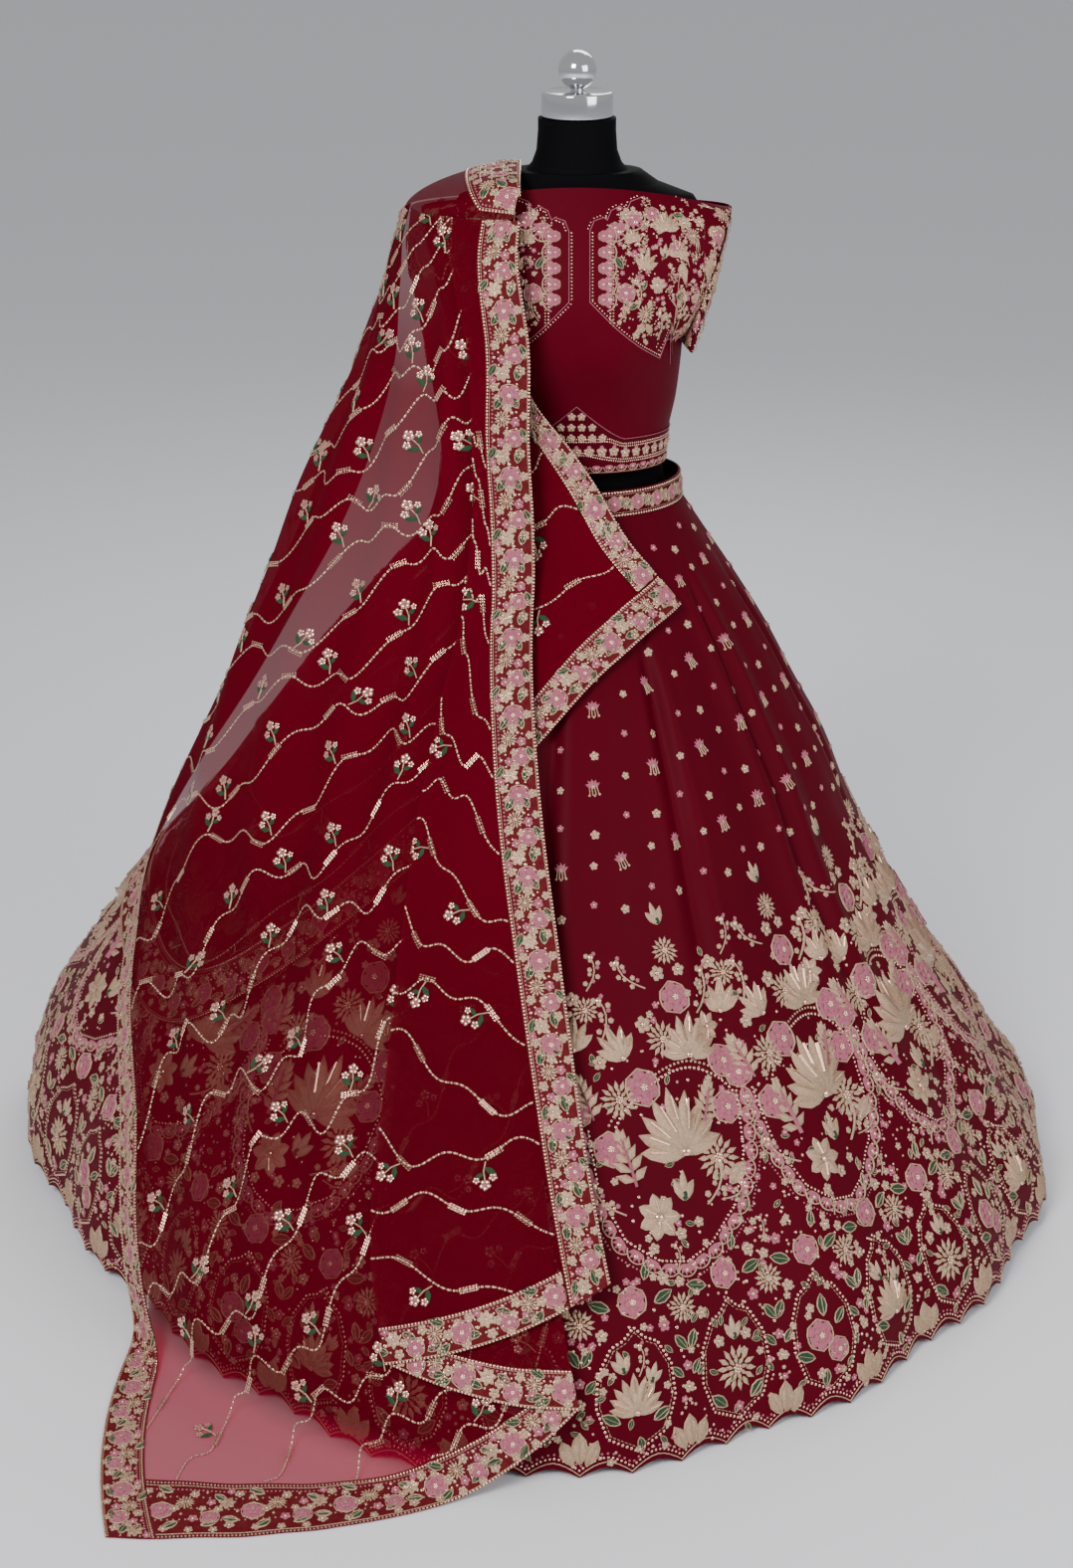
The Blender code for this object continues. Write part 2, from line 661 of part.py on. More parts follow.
def make_choli():
    """Boat-neck blouse: front, back, two short sleeves and the embroidered hem band."""
    crimson = material("crimson_satin", (0.19, 0.004, 0.020), 0.42, sheen=0.3)
    gold = material("zari_band", (0.52, 0.30, 0.22), 0.45, metallic=0.3)
    turns = spaced(-90.0, 90.0, 17)
    for name, sizes, facing, peak in (
            ("choli_front", CHOLI_FRONT, -1, HEM_BAND_PEAK), ("choli_back", CHOLI_BACK, 1, 0.0)):
        surface = choli_panel(sizes, facing)
        levels = [[(turn, hem_band_top(turn, peak) * k / 2.0) for turn in turns] for k in range(3)]
        wall(name.replace("choli_", "choli_hem_band_"), surface, levels, BAND_WALL, gold,
             lift=BAND_WALL + SEAM_GAP)
        levels += [[(turn, mix(hem_band_top(turn, peak), TOP_ROW, k / 8.0)) for turn in turns]
                   for k in range(1, 9)]
        wall(name, surface, levels, CHOLI_WALL, crimson)
    for name, side in (("sleeve_left", 1.0), ("sleeve_right", -1.0)):
        rows = [[(360.0 * i / 16, share) for i in range(16)] for share in spaced(0.0, 1.0, 5)]
        wall(name, sleeve_surface(side), rows, CHOLI_WALL, crimson, ring=True)


def make_skirt():
    """Flared skirt in a front and a back panel with a scalloped hem, under an embroidered waistband."""
    crimson = material("crimson_skirt_satin", (0.17, 0.003, 0.018), 0.42, sheen=0.3)
    gold = material("zari_waistband", (0.45, 0.22, 0.17), 0.45, metallic=0.3)

    def waistband(angle, height):
        rise = (height - WAIST_SEAM) / (WAIST_TOP - WAIST_SEAM)
        radius = ring_radius(angle, WAIST["front"], WAIST["side"], WAIST["back"])
        return polar(angle, radius - WAISTBAND_TOP_IN * rise, height)

    rows = [[(360.0 * i / WAISTBAND_SIDES, height) for i in range(WAISTBAND_SIDES)]
            for height in (WAIST_SEAM + SEAM_GAP, WAIST_MIDDLE, WAIST_TOP)]
    wall("skirt_waistband", waistband, rows, SKIRT_WALL, gold, ring=True)

    heights = [1.010, 0.950, 0.860, 0.750, 0.630, 0.500, 0.370, 0.240]
    fine_heights = [0.130, 0.055, HEM_HEIGHT]
    for name, middle_angle in (("skirt_front", 0.0), ("skirt_back", 180.0)):
        rows = []
        for height in heights + fine_heights:
            cells = SCALLOPS if height in fine_heights else SCALLOPS // 2
            row = []
            for i in range(cells + 1):
                away = mix(-90.0, 90.0, i / cells)
                if i in (0, cells):
                    gap = math.degrees(SEAM_GAP / 2.0 / skirt_reach(90.0, height, 0.0))
                    away -= math.copysign(gap, away)
                notch = SCALLOP_DEPTH if height == fine_heights[-1] and i % 2 else 0.0
                row.append((middle_angle + away, height + notch))
            rows.append(row)
        wall(name, skirt, rows, SKIRT_WALL, crimson)


def band_cells(cells):
    """Places of the cells of a bordered stretch, with one a seam's gap past the border."""
    places = spaced(0, cells, cells + 1)
    return places[:BAND_CELLS + 1] + [BAND_CELLS + BAND_SEAM_CELL] + places[BAND_CELLS + 1:]


def after_band(places):
    """Places past the border of another edge."""
    return places[BAND_CELLS + 1:]


def make_dupatta():
    """Net dupatta in its visible stretches, each with the border strips along its edges."""
    net = material("crimson_net", (0.20, 0.010, 0.030), 0.60)
    gold = material("zari_border", (0.55, 0.33, 0.26), 0.45, metallic=0.3)
    band_lift = BAND_WALL + SEAM_GAP

    def stretch(name, surface, columns, rows, bands):
        wall(name, surface, [[(u, v) for u in columns] for v in rows], NET_WALL, net)
        for band, band_columns, band_rows in bands:
            wall(band, surface, [[(u, v) for u in band_columns] for v in band_rows],
                 BAND_WALL, gold, lift=band_lift)

    stations = [0.0, 0.2, 0.4, 0.7] + spaced(1.0, END_BAND_STATION, 14) + [LAST_STATION]
    end_rows = stations[-2:]
    sweep_cells = band_cells(SWEEP_CELLS)
    stretch("dupatta_front_sweep", sweep, sweep_cells, stations, (
        ("dupatta_border_left", sweep_cells[:BAND_CELLS + 1], stations),
        ("dupatta_border_floor", after_band(sweep_cells), end_rows)))
    fold_shares = spaced(0.0, 1.0, 5)
    stretch("dupatta_front_fold", fold_layer, fold_shares, stations, (
        ("dupatta_border_fold", fold_shares, end_rows),))
    upper_cells = band_cells(UPPER_CELLS)
    stretch("dupatta_front_upper", upper, upper_cells, stations, (
        ("dupatta_border_front", upper_cells[:BAND_CELLS + 1], stations),
        ("dupatta_border_front_end", after_band(upper_cells), end_rows)))
    dome_angles = spaced(*DOME_ANGLES, 17)
    dome_rows = spaced(0, DOME_CELLS, DOME_CELLS + 1)
    stretch("dupatta_shoulder", shoulder, dome_angles, dome_rows, (
        ("dupatta_border_shoulder", dome_angles, dome_rows[:BAND_CELLS + 1]),))
    wrap_cells, wrap_rows = spaced(0, WRAP_CELLS, WRAP_CELLS + 1), band_cells(WRAP_ROWS)
    stretch("dupatta_wrap", wrap, wrap_cells, wrap_rows, (
        ("dupatta_border_wrap_hem", wrap_cells, wrap_rows[:BAND_CELLS + 1]),
        ("dupatta_border_wrap_end", wrap_cells[:BAND_CELLS + 1], after_band(wrap_rows))))
    back_cells, back_rows = band_cells(BACK_CELLS), spaced(0, BACK_ROWS, BACK_ROWS + 1)
    stretch("dupatta_back", back, back_cells, back_rows, (
        ("dupatta_border_back", back_cells[:BAND_CELLS + 1], back_rows),
        ("dupatta_border_back_hem", after_band(back_cells), back_rows[:BAND_CELLS + 1])))


clear_scene()
make_form()
make_choli()
make_skirt()
make_dupatta()
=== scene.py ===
"""Looks of a lehenga choli on a limbless dress form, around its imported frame.

Metres, +Z up, front towards -Y, +X to the wearer's left. Angles are in degrees round the upright axis:
0 is the front, 90 is +X and -90 is -X. The cloth follows the same named sizes as the solids.
"""

import json
import math

import bpy
import numpy as np
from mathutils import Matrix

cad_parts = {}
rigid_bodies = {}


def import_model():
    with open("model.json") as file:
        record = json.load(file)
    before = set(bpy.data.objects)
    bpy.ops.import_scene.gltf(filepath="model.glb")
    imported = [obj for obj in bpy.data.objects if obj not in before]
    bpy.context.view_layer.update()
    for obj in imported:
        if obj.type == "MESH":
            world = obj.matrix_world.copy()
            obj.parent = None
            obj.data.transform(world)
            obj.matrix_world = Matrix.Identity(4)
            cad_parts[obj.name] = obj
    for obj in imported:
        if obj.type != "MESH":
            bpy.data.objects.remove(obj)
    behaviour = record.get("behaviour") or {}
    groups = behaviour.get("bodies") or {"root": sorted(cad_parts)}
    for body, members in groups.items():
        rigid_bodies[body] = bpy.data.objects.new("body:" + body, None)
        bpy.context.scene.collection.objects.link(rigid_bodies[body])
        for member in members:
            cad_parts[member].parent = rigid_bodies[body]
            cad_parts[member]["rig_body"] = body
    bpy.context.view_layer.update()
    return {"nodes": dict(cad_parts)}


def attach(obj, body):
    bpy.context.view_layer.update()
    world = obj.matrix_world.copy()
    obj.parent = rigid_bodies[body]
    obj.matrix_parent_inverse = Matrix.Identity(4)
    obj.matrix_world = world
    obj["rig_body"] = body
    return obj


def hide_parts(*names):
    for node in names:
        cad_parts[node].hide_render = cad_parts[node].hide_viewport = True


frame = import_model()
bpy.ops.object.select_all(action="DESELECT")
chance = np.random.default_rng(7)


# Camera, soft studio lights and a pale floor.
# The camera stands in front, a little above the form, and looks down on it as the photo's does.
# Three large soft lights and an even pale surround light the cloth.
CAMERA_PLACE = (-0.0528, -3.36, 1.968)
CAMERA_PITCH = 67.5
CAMERA_LENS = 57.79
FLOOR_SIZE = 60.0
CLOTH_SHINE = 0.05
LIGHTS = (
    ("key", (-1.6, -3.4, 3.4), (50, 0, -25), 1.4, 150.0),
    ("fill", (2.8, -2.6, 2.2), (60, 0, 47), 2.2, 60.0),
    ("back", (0.6, 2.6, 3.2), (-48, 0, -12), 2.0, 45.0),
)


def linear(value):
    """Linear colour of an sRGB hex string."""
    shown = np.array([int(value[i:i + 2], 16) for i in (1, 3, 5)]) / 255.0
    return (*np.where(shown <= 0.04045, shown / 12.92, ((shown + 0.055) / 1.055) ** 2.4).tolist(), 1.0)


def add_node(tree, kind, inputs=(), **settings):
    """Add a shader node with its settings, its values and the links into it."""
    made = tree.nodes.new("ShaderNode" + kind)
    for key, value in settings.items():
        setattr(made, key, value)
    for key, value in dict(inputs).items():
        if isinstance(value, bpy.types.NodeSocket):
            tree.links.new(value, made.inputs[key])
        else:
            made.inputs[key].default_value = value
    return made


def finish_of(name, colour, roughness, metallic=0.0, sheen=0.0, alpha=1.0, other=None, patch=40.0,
              grain=0.0, grain_size=900.0):
    """Principled material whose colour drifts to another in patches, with a fine grain in its relief."""
    made = bpy.data.materials.new(name)
    made.use_nodes = True
    tree = made.node_tree
    shader = tree.nodes["Principled BSDF"]
    for socket, value in (("Base Color", linear(colour)), ("Roughness", roughness), ("Metallic", metallic),
                          ("Sheen Weight", sheen), ("Alpha", alpha),
                          ("Specular IOR Level", 0.5 if metallic else CLOTH_SHINE)):
        shader.inputs[socket].default_value = value
    made.diffuse_color = linear(colour)
    where = add_node(tree, "TexCoord").outputs["Object"]
    if other:
        drift = add_node(tree, "TexNoise", {"Vector": where, "Scale": patch, "Detail": 2.0})
        shades = add_node(tree, "Mix", {"Factor": drift.outputs["Fac"]}, data_type="RGBA")
        shades.inputs[6].default_value = linear(colour)
        shades.inputs[7].default_value = linear(other)
        tree.links.new(shades.outputs[2], shader.inputs["Base Color"])
    if grain:
        fine = add_node(tree, "TexNoise", {"Vector": where, "Scale": grain_size, "Detail": 1.0})
        bump = add_node(tree, "Bump", {"Height": fine.outputs["Fac"], "Strength": grain, "Distance": 0.001})
        tree.links.new(bump.outputs["Normal"], shader.inputs["Normal"])
    return made


def smooth(thing, angle=45.0):
    """Shade a piece smoothly, except across sharp edges."""
    bpy.ops.object.select_all(action="DESELECT")
    thing.select_set(True)
    bpy.context.view_layer.objects.active = thing
    bpy.ops.object.shade_smooth_by_angle(angle=math.radians(angle))


def keep(thing, material, slot, *nodes):
    """Give a finished piece its material and its body, and hide the solids that it stands for; its slot is not
    used.
    """
    thing.data.materials.clear()
    thing.data.materials.append(material)
    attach(thing, "root")
    if nodes:
        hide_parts(*nodes)
    return thing


camera = bpy.data.cameras.new("camera")
camera.lens = CAMERA_LENS
camera.sensor_width = 36.0
viewer = bpy.data.objects.new("camera", camera)
viewer.location = CAMERA_PLACE
viewer.rotation_euler = (math.radians(CAMERA_PITCH), 0.0, 0.0)
bpy.context.scene.collection.objects.link(viewer)
bpy.context.scene.camera = viewer

for name, spot, turn, width, power in LIGHTS:
    lamp = bpy.data.lights.new(name, "AREA")
    lamp.size = width
    lamp.energy = power
    holder = bpy.data.objects.new(name, lamp)
    holder.location = spot
    holder.rotation_euler = [math.radians(value) for value in turn]
    bpy.context.scene.collection.objects.link(holder)

surround = bpy.data.worlds.new("studio")
surround.use_nodes = True
surround.node_tree.nodes["Background"].inputs["Color"].default_value = linear("#F2F3F5")
surround.node_tree.nodes["Background"].inputs["Strength"].default_value = 0.50
bpy.context.scene.world = surround

bpy.ops.mesh.primitive_plane_add(size=FLOOR_SIZE)
floor = bpy.context.object
floor.name = "floor"
floor.data.materials.append(finish_of("pale_floor", "#F1F2F6", 0.60))


def table(columns, *rows):
    """Named columns of a short table, one row for each section, fold or station."""
    return dict(zip(columns.split(), np.array(rows, dtype=float).T))


def read(rows, key, column, at):
    """Smooth values of a column where the key column has the values at."""
    keys, values = rows[key], rows[column]
    if keys[0] > keys[-1]:
        keys, values = keys[::-1], values[::-1]
    slopes = np.gradient(values, keys)
    at = np.clip(at, keys[0], keys[-1])
    i = np.clip(np.searchsorted(keys, at, side="right") - 1, 0, len(keys) - 2)
    span = keys[i + 1] - keys[i]
    t = (at - keys[i]) / span
    start, end = slopes[i] * span, slopes[i + 1] * span
    rise = values[i + 1] - values[i]
    return values[i] + t * start + t * t * (3 * rise - 2 * start - end) + t ** 3 * (start + end - 2 * rise)


def mix(a, b, t):
    return a + (b - a) * t


def ease(low, high, value):
    """0 below low, 1 above high and smooth between."""
    t = np.clip((value - low) / (high - low), 0.0, 1.0)
    return t * t * (3 - 2 * t)


def polar(angle, radius, height):
    """Points at angles, radii and heights round the upright axis."""
    turn = np.radians(angle)
    return np.stack(np.broadcast_arrays(radius * np.sin(turn), -radius * np.cos(turn), height), -1)


def ring_radius(angle, front, side, back):
    """Radius of an oval with its own depth in front and behind, at an angle."""
    turn = np.radians(angle)
    return 1.0 / np.hypot(np.sin(turn) / side, np.cos(turn) / np.where(np.cos(turn) > 0, front, back))


def grid(surface, columns, rows):
    """Points of a surface over columns and rows of places."""
    u, v = np.meshgrid(columns, rows)
    return surface(u, v)


def length_along(points):
    """Distance walked along a line of points."""
    return np.concatenate(([0.0], np.cumsum(np.linalg.norm(np.diff(points, axis=0), axis=-1))))


def sheet(name, points, wall=0.0, lift=0.0, ring=False):
    """Sheet laid on a grid of points, outer side away from the axis, with a wall inwards if it has one.

    Its UV map is in metres along the cloth.
    """
    across = np.gradient(points, axis=1)
    along = np.gradient(points, axis=0)
    normals = np.cross(across, along)
    normals /= np.maximum(np.linalg.norm(normals, axis=-1, keepdims=True), 1e-12)
    centre = points.mean(axis=(0, 1)) * np.array((1.0, 1.0, 1.0) if ring else (0.0, 0.0, 1.0))
    centre = centre - np.array((0.0, 0.0, 0.0 if ring else BELOW_CENTRE))
    if np.sum(normals * (points - centre)) < 0:
        points, normals = points[:, ::-1], -normals[:, ::-1]
    points = points + normals * lift
    rows, columns = points.shape[:2]
    bpy.ops.mesh.primitive_grid_add(x_subdivisions=columns - 1, y_subdivisions=rows - 1)
    thing = bpy.context.object
    thing.name = name
    mesh = thing.data
    mesh.name = name
    mesh.vertices.foreach_set("co", points.astype(np.float32).ravel())
    flat = np.stack(np.meshgrid(length_along(points[rows // 2]), length_along(points[:, columns // 2])), -1)
    corners = np.zeros(len(mesh.loops), dtype=np.int32)
    mesh.loops.foreach_get("vertex_index", corners)
    mesh.uv_layers[0].data.foreach_set("uv", flat.reshape(-1, 2)[corners].astype(np.float32).ravel())
    mesh.update()
    if ring:
        bpy.ops.object.mode_set(mode="EDIT")
        bpy.ops.mesh.select_all(action="SELECT")
        bpy.ops.mesh.remove_doubles(threshold=0.00002)
        bpy.ops.object.mode_set(mode="OBJECT")
    if wall:
        modifier = thing.modifiers.new("wall", "SOLIDIFY")
        modifier.thickness = wall
        modifier.offset = -1.0
        bpy.ops.object.modifier_apply(modifier=modifier.name)
    smooth(thing)
    return thing


BELOW_CENTRE = 0.2
SKIRT_WALL = 0.0020
CHOLI_WALL = 0.0015
NET_WALL = 0.0012
SEAM_GAP = 0.0003


# Dress form: a padded torso in black stretch cloth with a chrome cap and ball, on a pole and a round plate.
# The torso is one smooth hollow form, and the chrome pieces are turned and screwed on its pole.
SHOULDER_SEAT = 0.085
NECK_TOP = 1.5160
TORSO = table(
    "height half_width front back",
    (0.700, 0.118, 0.082, 0.088),
    (0.712, 0.148, 0.106, 0.113),
    (0.780, 0.166, 0.118, 0.125),
    (0.860, 0.168, 0.120, 0.127),
    (0.940, 0.156, 0.110, 0.119),
    (0.990, 0.139, 0.098, 0.1045),
    (1.026, 0.124, 0.090, 0.1016),
    (1.062, 0.118, 0.086, 0.092),
    (1.105, 0.1250, 0.090, 0.090),
    (1.150, 0.127, 0.100, 0.094),
    (1.200, 0.131, 0.113, 0.098),
    (1.245, 0.134, 0.118, 0.101),
    (1.300, 0.139, 0.108, 0.100),
    (1.345, 0.149, 0.094, 0.094),
    (1.380, 0.160, 0.078, 0.082),
    (1.400, 0.165, 0.068, 0.074),
    (1.417, 0.154, 0.060, 0.066),
    (1.434, 0.108, 0.057, 0.060),
    (1.4499, SHOULDER_SEAT, 0.055, 0.056),
    (1.4503, 0.067, 0.053, 0.054),
    (1.459, 0.059, 0.052, 0.052),
    (1.475, 0.053, 0.051, 0.051),
    (1.500, 0.051, 0.050, 0.050),
)
CAP_RADIUS = 0.047
CAP_HEIGHT = 0.033
BALL_RADIUS = 0.025
BLACK = finish_of("black_stretch_cloth", "#08080A", 0.75, grain=0.15, grain_size=1400.0)
CHROME = finish_of("polished_chrome", "#D9DADD", 0.10, metallic=1.0)
STEM_RADIUS = 0.009


def torso_point(angle, height):
    """Torso surface, which closes to the axis above and below its ends."""
    inside = (height >= TORSO["height"][0]) & (height <= NECK_TOP)
    half_width, front, back_depth = (
        np.interp(height, TORSO["height"], TORSO[column]) for column in ("half_width", "front", "back"))
    turn = np.radians(angle)
    depth = np.where(np.cos(turn) > 0, front, back_depth)
    points = np.stack((half_width * np.sin(turn), -depth * np.cos(turn),
                       np.clip(height, TORSO["height"][0], NECK_TOP)), -1)
    return points * np.stack((inside, inside, np.ones_like(inside)), -1)


torso_heights = np.unique(np.concatenate((TORSO["height"], np.linspace(TORSO["height"][0], NECK_TOP, 70),
                                          [TORSO["height"][0] - 0.01, NECK_TOP + 0.01])))
torso = sheet("torso", grid(torso_point, np.linspace(0, 360, 73), torso_heights), ring=True)
keep(torso, BLACK, "form_cloth", "form_torso")

cap_foot = NECK_TOP + SEAM_GAP
bpy.ops.mesh.primitive_cylinder_add(vertices=96, radius=CAP_RADIUS, depth=CAP_HEIGHT,
                                    location=(0.0, 0.0, cap_foot + CAP_HEIGHT / 2.0))
cap = bpy.context.object
cap.name = "neck_cap"
bpy.ops.object.transform_apply(location=True)
rounding = cap.modifiers.new("rounding", "BEVEL")
rounding.width = 0.003
rounding.segments = 4
rounding.limit_method = "ANGLE"
bpy.ops.object.modifier_apply(modifier=rounding.name)
smooth(cap)
keep(cap, CHROME, "form_chrome", "form_neck_cap")

ball_foot = cap_foot + CAP_HEIGHT + SEAM_GAP
ball_centre = ball_foot + 0.003 + BALL_RADIUS * math.cos(math.asin(STEM_RADIUS / BALL_RADIUS))
ball_profile = [(0.0, ball_foot), (STEM_RADIUS, ball_foot)]
ball_profile += [(BALL_RADIUS * math.sin(t), ball_centre - BALL_RADIUS * math.cos(t))
                 for t in np.linspace(math.asin(STEM_RADIUS / BALL_RADIUS), math.pi, 26)]
ball_radii, ball_heights = np.array(ball_profile).T
ball = sheet("neck_ball", np.stack([polar(np.linspace(0, 360, 65), radius, height)
                                    for radius, height in zip(ball_radii, ball_heights)]), ring=True)
keep(ball, CHROME, "form_chrome", "form_neck_ball")
for node in ("form_pole", "form_base"):
    frame["nodes"][node].data.materials.clear()
    frame["nodes"][node].data.materials.append(CHROME)


# Embroidery threads, and the motifs that are worked with them.
# Zari is metal-wrapped thread. The pink and the green are silk. Beads and sequins are rose gold.
# Each motif is modelled flat once, then sewn on by laying its points on a panel, a little above the cloth.
THREADS = {
    "zari": finish_of("pale_gold_zari_thread", "#DCC0A0", 0.40, metallic=0.30, other="#8E6850", patch=430.0,
                      grain=0.5, grain_size=1500.0),
    "silk": finish_of("pink_silk_thread", "#C07C88", 0.55, sheen=0.1, other="#8E4054", patch=380.0,
                      grain=0.4, grain_size=1500.0),
    "leaf": finish_of("green_silk_thread", "#22402A", 0.55, sheen=0.1, other="#355238", patch=120.0,
                      grain=0.4, grain_size=1500.0),
    "sequin": finish_of("rose_gold_sequins", "#F0CDB4", 0.18, metallic=0.85, other="#E0A88E", patch=300.0),
}
SEWN_LIFT = 0.0004


def dome(radius, height, sides=6, x=0.0, y=0.0, low=0.0):
    """Low round bead, knot or lobe."""
    turn = np.arange(sides) * 2.0 * math.pi / sides
    ring = np.stack((x + radius * np.cos(turn), y + radius * np.sin(turn), np.full(sides, low)), -1)
    points = np.vstack((ring, (x, y, low + height)))
    i = np.arange(sides)
    return points, np.stack((i, (i + 1) % sides, np.full(sides, sides)), -1)


def ridge(path, widths, height):
    """Raised strip along a flat path: a stem, a vein, a petal or a leaf."""
    path = np.asarray(path, dtype=float)
    ahead = np.gradient(path, axis=0)
    ahead /= np.maximum(np.linalg.norm(ahead, axis=1, keepdims=True), 1e-9)
    aside = np.stack((-ahead[:, 1], ahead[:, 0]), -1) * (np.broadcast_to(widths, len(path)) / 2.0)[:, None]
    heights = np.broadcast_to(height, len(path))
    zero = np.zeros(len(path))
    rows = [np.column_stack((path + aside, zero)), np.column_stack((path, heights)),
            np.column_stack((path - aside, zero))]
    points = np.stack(rows, 1).reshape(-1, 3)
    faces = []
    for k in range(len(path) - 1):
        for side in range(2):
            a, b = 3 * k + side, 3 * k + side + 1
            faces += [(b, a, a + 3), (b, a + 3, b + 3)]
    return points, np.array(faces)[:, ::-1]


def petal(length, width, height, x=0.0, y=0.0, turn=0.0, fine=True):
    """Pointed petal from (x, y), turned clockwise from straight up."""
    t = np.array((0.0, 0.22, 0.5, 0.8, 1.0) if fine else (0.0, 0.45, 1.0))
    shares = np.array((0.3, 0.8, 1.0, 0.62, 0.03) if fine else (0.35, 1.0, 0.05))
    rises = np.array((0.5, 1.0, 1.0, 0.8, 0.3) if fine else (0.6, 1.0, 0.3))
    angle = math.radians(turn)
    path = np.stack((x + length * t * math.sin(angle), y + length * t * math.cos(angle)), -1)
    return ridge(path, width * shares, height * rises)


def joined(*meshes):
    """Several meshes as one."""
    points, faces, count = [], [], 0
    for some_points, some_faces in meshes:
        points.append(some_points)
        faces.append(some_faces + count)
        count += len(some_points)
    return np.vstack(points), np.vstack(faces)


def motif(*parts):
    """Motif from (thread, mesh) parts, one mesh for each thread."""
    return {thread: joined(*(mesh for name, mesh in parts if name == thread))
            for thread in sorted({name for name, mesh in parts})}


def around(count, start=0.0, end=360.0):
    """Even angles round a flower, without the end."""
    return [start + (end - start) * i / count for i in range(count)]


def at(radius, turn):
    """Place at a distance from the middle, at an angle clockwise from straight up."""
    return radius * math.sin(math.radians(turn)), radius * math.cos(math.radians(turn))


def lobes(count, radius, size, height, sides=6, low=0.0, start=0.0):
    return [dome(size, height, sides, *at(radius, turn), low) for turn in around(count, start, start + 360.0)]


def rose():
    """Six-lobed flower of pink silk with a corded rim and a sequin heart, 1 unit in radius."""
    parts = [("silk", mesh) for mesh in lobes(6, 0.60, 0.40, 0.12, 7)]
    parts += [("silk", mesh) for mesh in lobes(5, 0.30, 0.27, 0.16, 6, 0.10, 36.0)]
    parts += [("sequin", mesh) for mesh in lobes(5, 0.13, 0.10, 0.07, 5, 0.22)]
    parts += [("sequin", dome(0.10, 0.10, 5, 0.0, 0.0, 0.24))]
    rim = [at(0.98 + 0.06 * math.cos(math.radians(6.0 * turn)), turn) for turn in np.linspace(0, 360, 15)]
    parts += [("zari", ridge(rim, 0.10, 0.10))]
    return motif(*parts)


def blossom(thread="zari"):
    parts = [(thread, mesh) for mesh in lobes(5, 0.58, 0.42, 0.28, 5)]
    return motif(*parts, ("sequin", dome(0.30, 0.40, 5, 0.0, 0.0, 0.10)))


def lotus(petals=9, spread=78.0):
    """Fan of pointed petals on a short cup, 1 unit high from its foot."""
    turns = np.linspace(-spread, spread, petals)
    parts = [("zari", petal(1.0 - 0.28 * abs(turn) / spread, 0.28, 0.05 + 0.06 * (i % 2), turn=turn))
             for i, turn in enumerate(turns)]
    parts += [("sequin", ridge([at(0.34, turn), at(0.86 - 0.26 * abs(turn) / spread, turn)], 0.020,
                               0.10 + 0.05 * (i % 2))) for i, turn in enumerate(turns)]
    parts += [("zari", petal(0.62, 0.26, 0.12, turn=turn)) for turn in np.linspace(-34, 34, 3)]
    return motif(*parts, ("sequin", dome(0.08, 0.10, 5, 0.0, 0.02, 0.06)))


def sunburst():
    """Round flower of two rows of narrow petals round a heart of sequins, 1 unit in radius."""
    parts = [("zari", petal(0.52, 0.24, 0.08, *at(0.46, turn), turn, False)) for turn in around(14)]
    parts += [("zari", petal(0.40, 0.20, 0.14, *at(0.18, turn), turn, False)) for turn in around(9, 10, 370)]
    parts += [("sequin", mesh) for mesh in lobes(6, 0.14, 0.08, 0.08, 5, 0.10)]
    return motif(*parts, ("sequin", dome(0.08, 0.10, 5, 0.0, 0.0, 0.12)))


def leaf(thread="leaf"):
    """Pointed leaf with a light rim and vein, 1 unit long from its foot."""
    side = [(0.0, 0.0), (0.16, 0.18), (0.25, 0.45), (0.18, 0.75), (0.0, 1.0)]
    rim = side + [(-x, y) for x, y in side[-2::-1]]
    return motif((thread, petal(1.0, 0.48, 0.06)), ("zari", ridge(rim, 0.07, 0.07)),
                 ("zari", ridge([(0.0, 0.05), (0.0, 0.85)], 0.05, 0.11)))


def big_leaf():
    """Broad leaf of padded zari lobes along a midrib, 1 unit long."""
    parts = [("zari", petal(0.40 - 0.05 * abs(k - 1), 0.17, 0.06, 0.0, 0.12 + 0.17 * k,
                            side * (64 - 9 * k), False)) for k in range(5) for side in (-1, 1)]
    parts += [("zari", petal(0.36, 0.16, 0.06, 0.0, 0.72))]
    return motif(*parts, ("silk", ridge([(0.0, 0.0), (0.02, 0.4), (0.0, 0.85)], 0.045, 0.09)))


def lily():
    """Round flower of seven broad padded petals with a beaded heart, 1 unit in radius."""
    parts = [("zari", petal(0.80, 0.56, 0.10, *at(0.14, turn), turn)) for turn in around(7)]
    parts += [("sequin", ridge([at(0.2, turn), at(0.7, turn)], 0.05, 0.15)) for turn in around(7)]
    return motif(*parts, ("sequin", dome(0.18, 0.16, 7, 0.0, 0.0, 0.06)))


def bud():
    parts = [("zari", petal(1.0 - 0.2 * abs(turn) / 30, 0.34, 0.12, turn=turn)) for turn in (-30, 0, 30)]
    return motif(*parts, ("leaf", petal(0.35, 0.40, 0.16)))


def spray(bend=0.35):
    """Curved stem with small knots on both sides and a sequin at its tip, 1 unit high."""
    stem = [(bend * math.sin(2.2 * t) - 0.1 * t, t) for t in np.linspace(0, 1, 6)]
    parts = [("zari", ridge(stem, 0.05, 0.05))]
    for k, (x, y) in enumerate(stem[1:]):
        side = 0.14 if k % 2 else -0.14
        parts += [("zari", dome(0.085, 0.07, 5, x + side, y + 0.03))]
        parts += [("zari" if k % 2 else "silk", dome(0.07, 0.06, 5, x - 0.7 * side, y + 0.10))]
    return motif(*parts, ("sequin", dome(0.10, 0.09, 5, *stem[-1])))


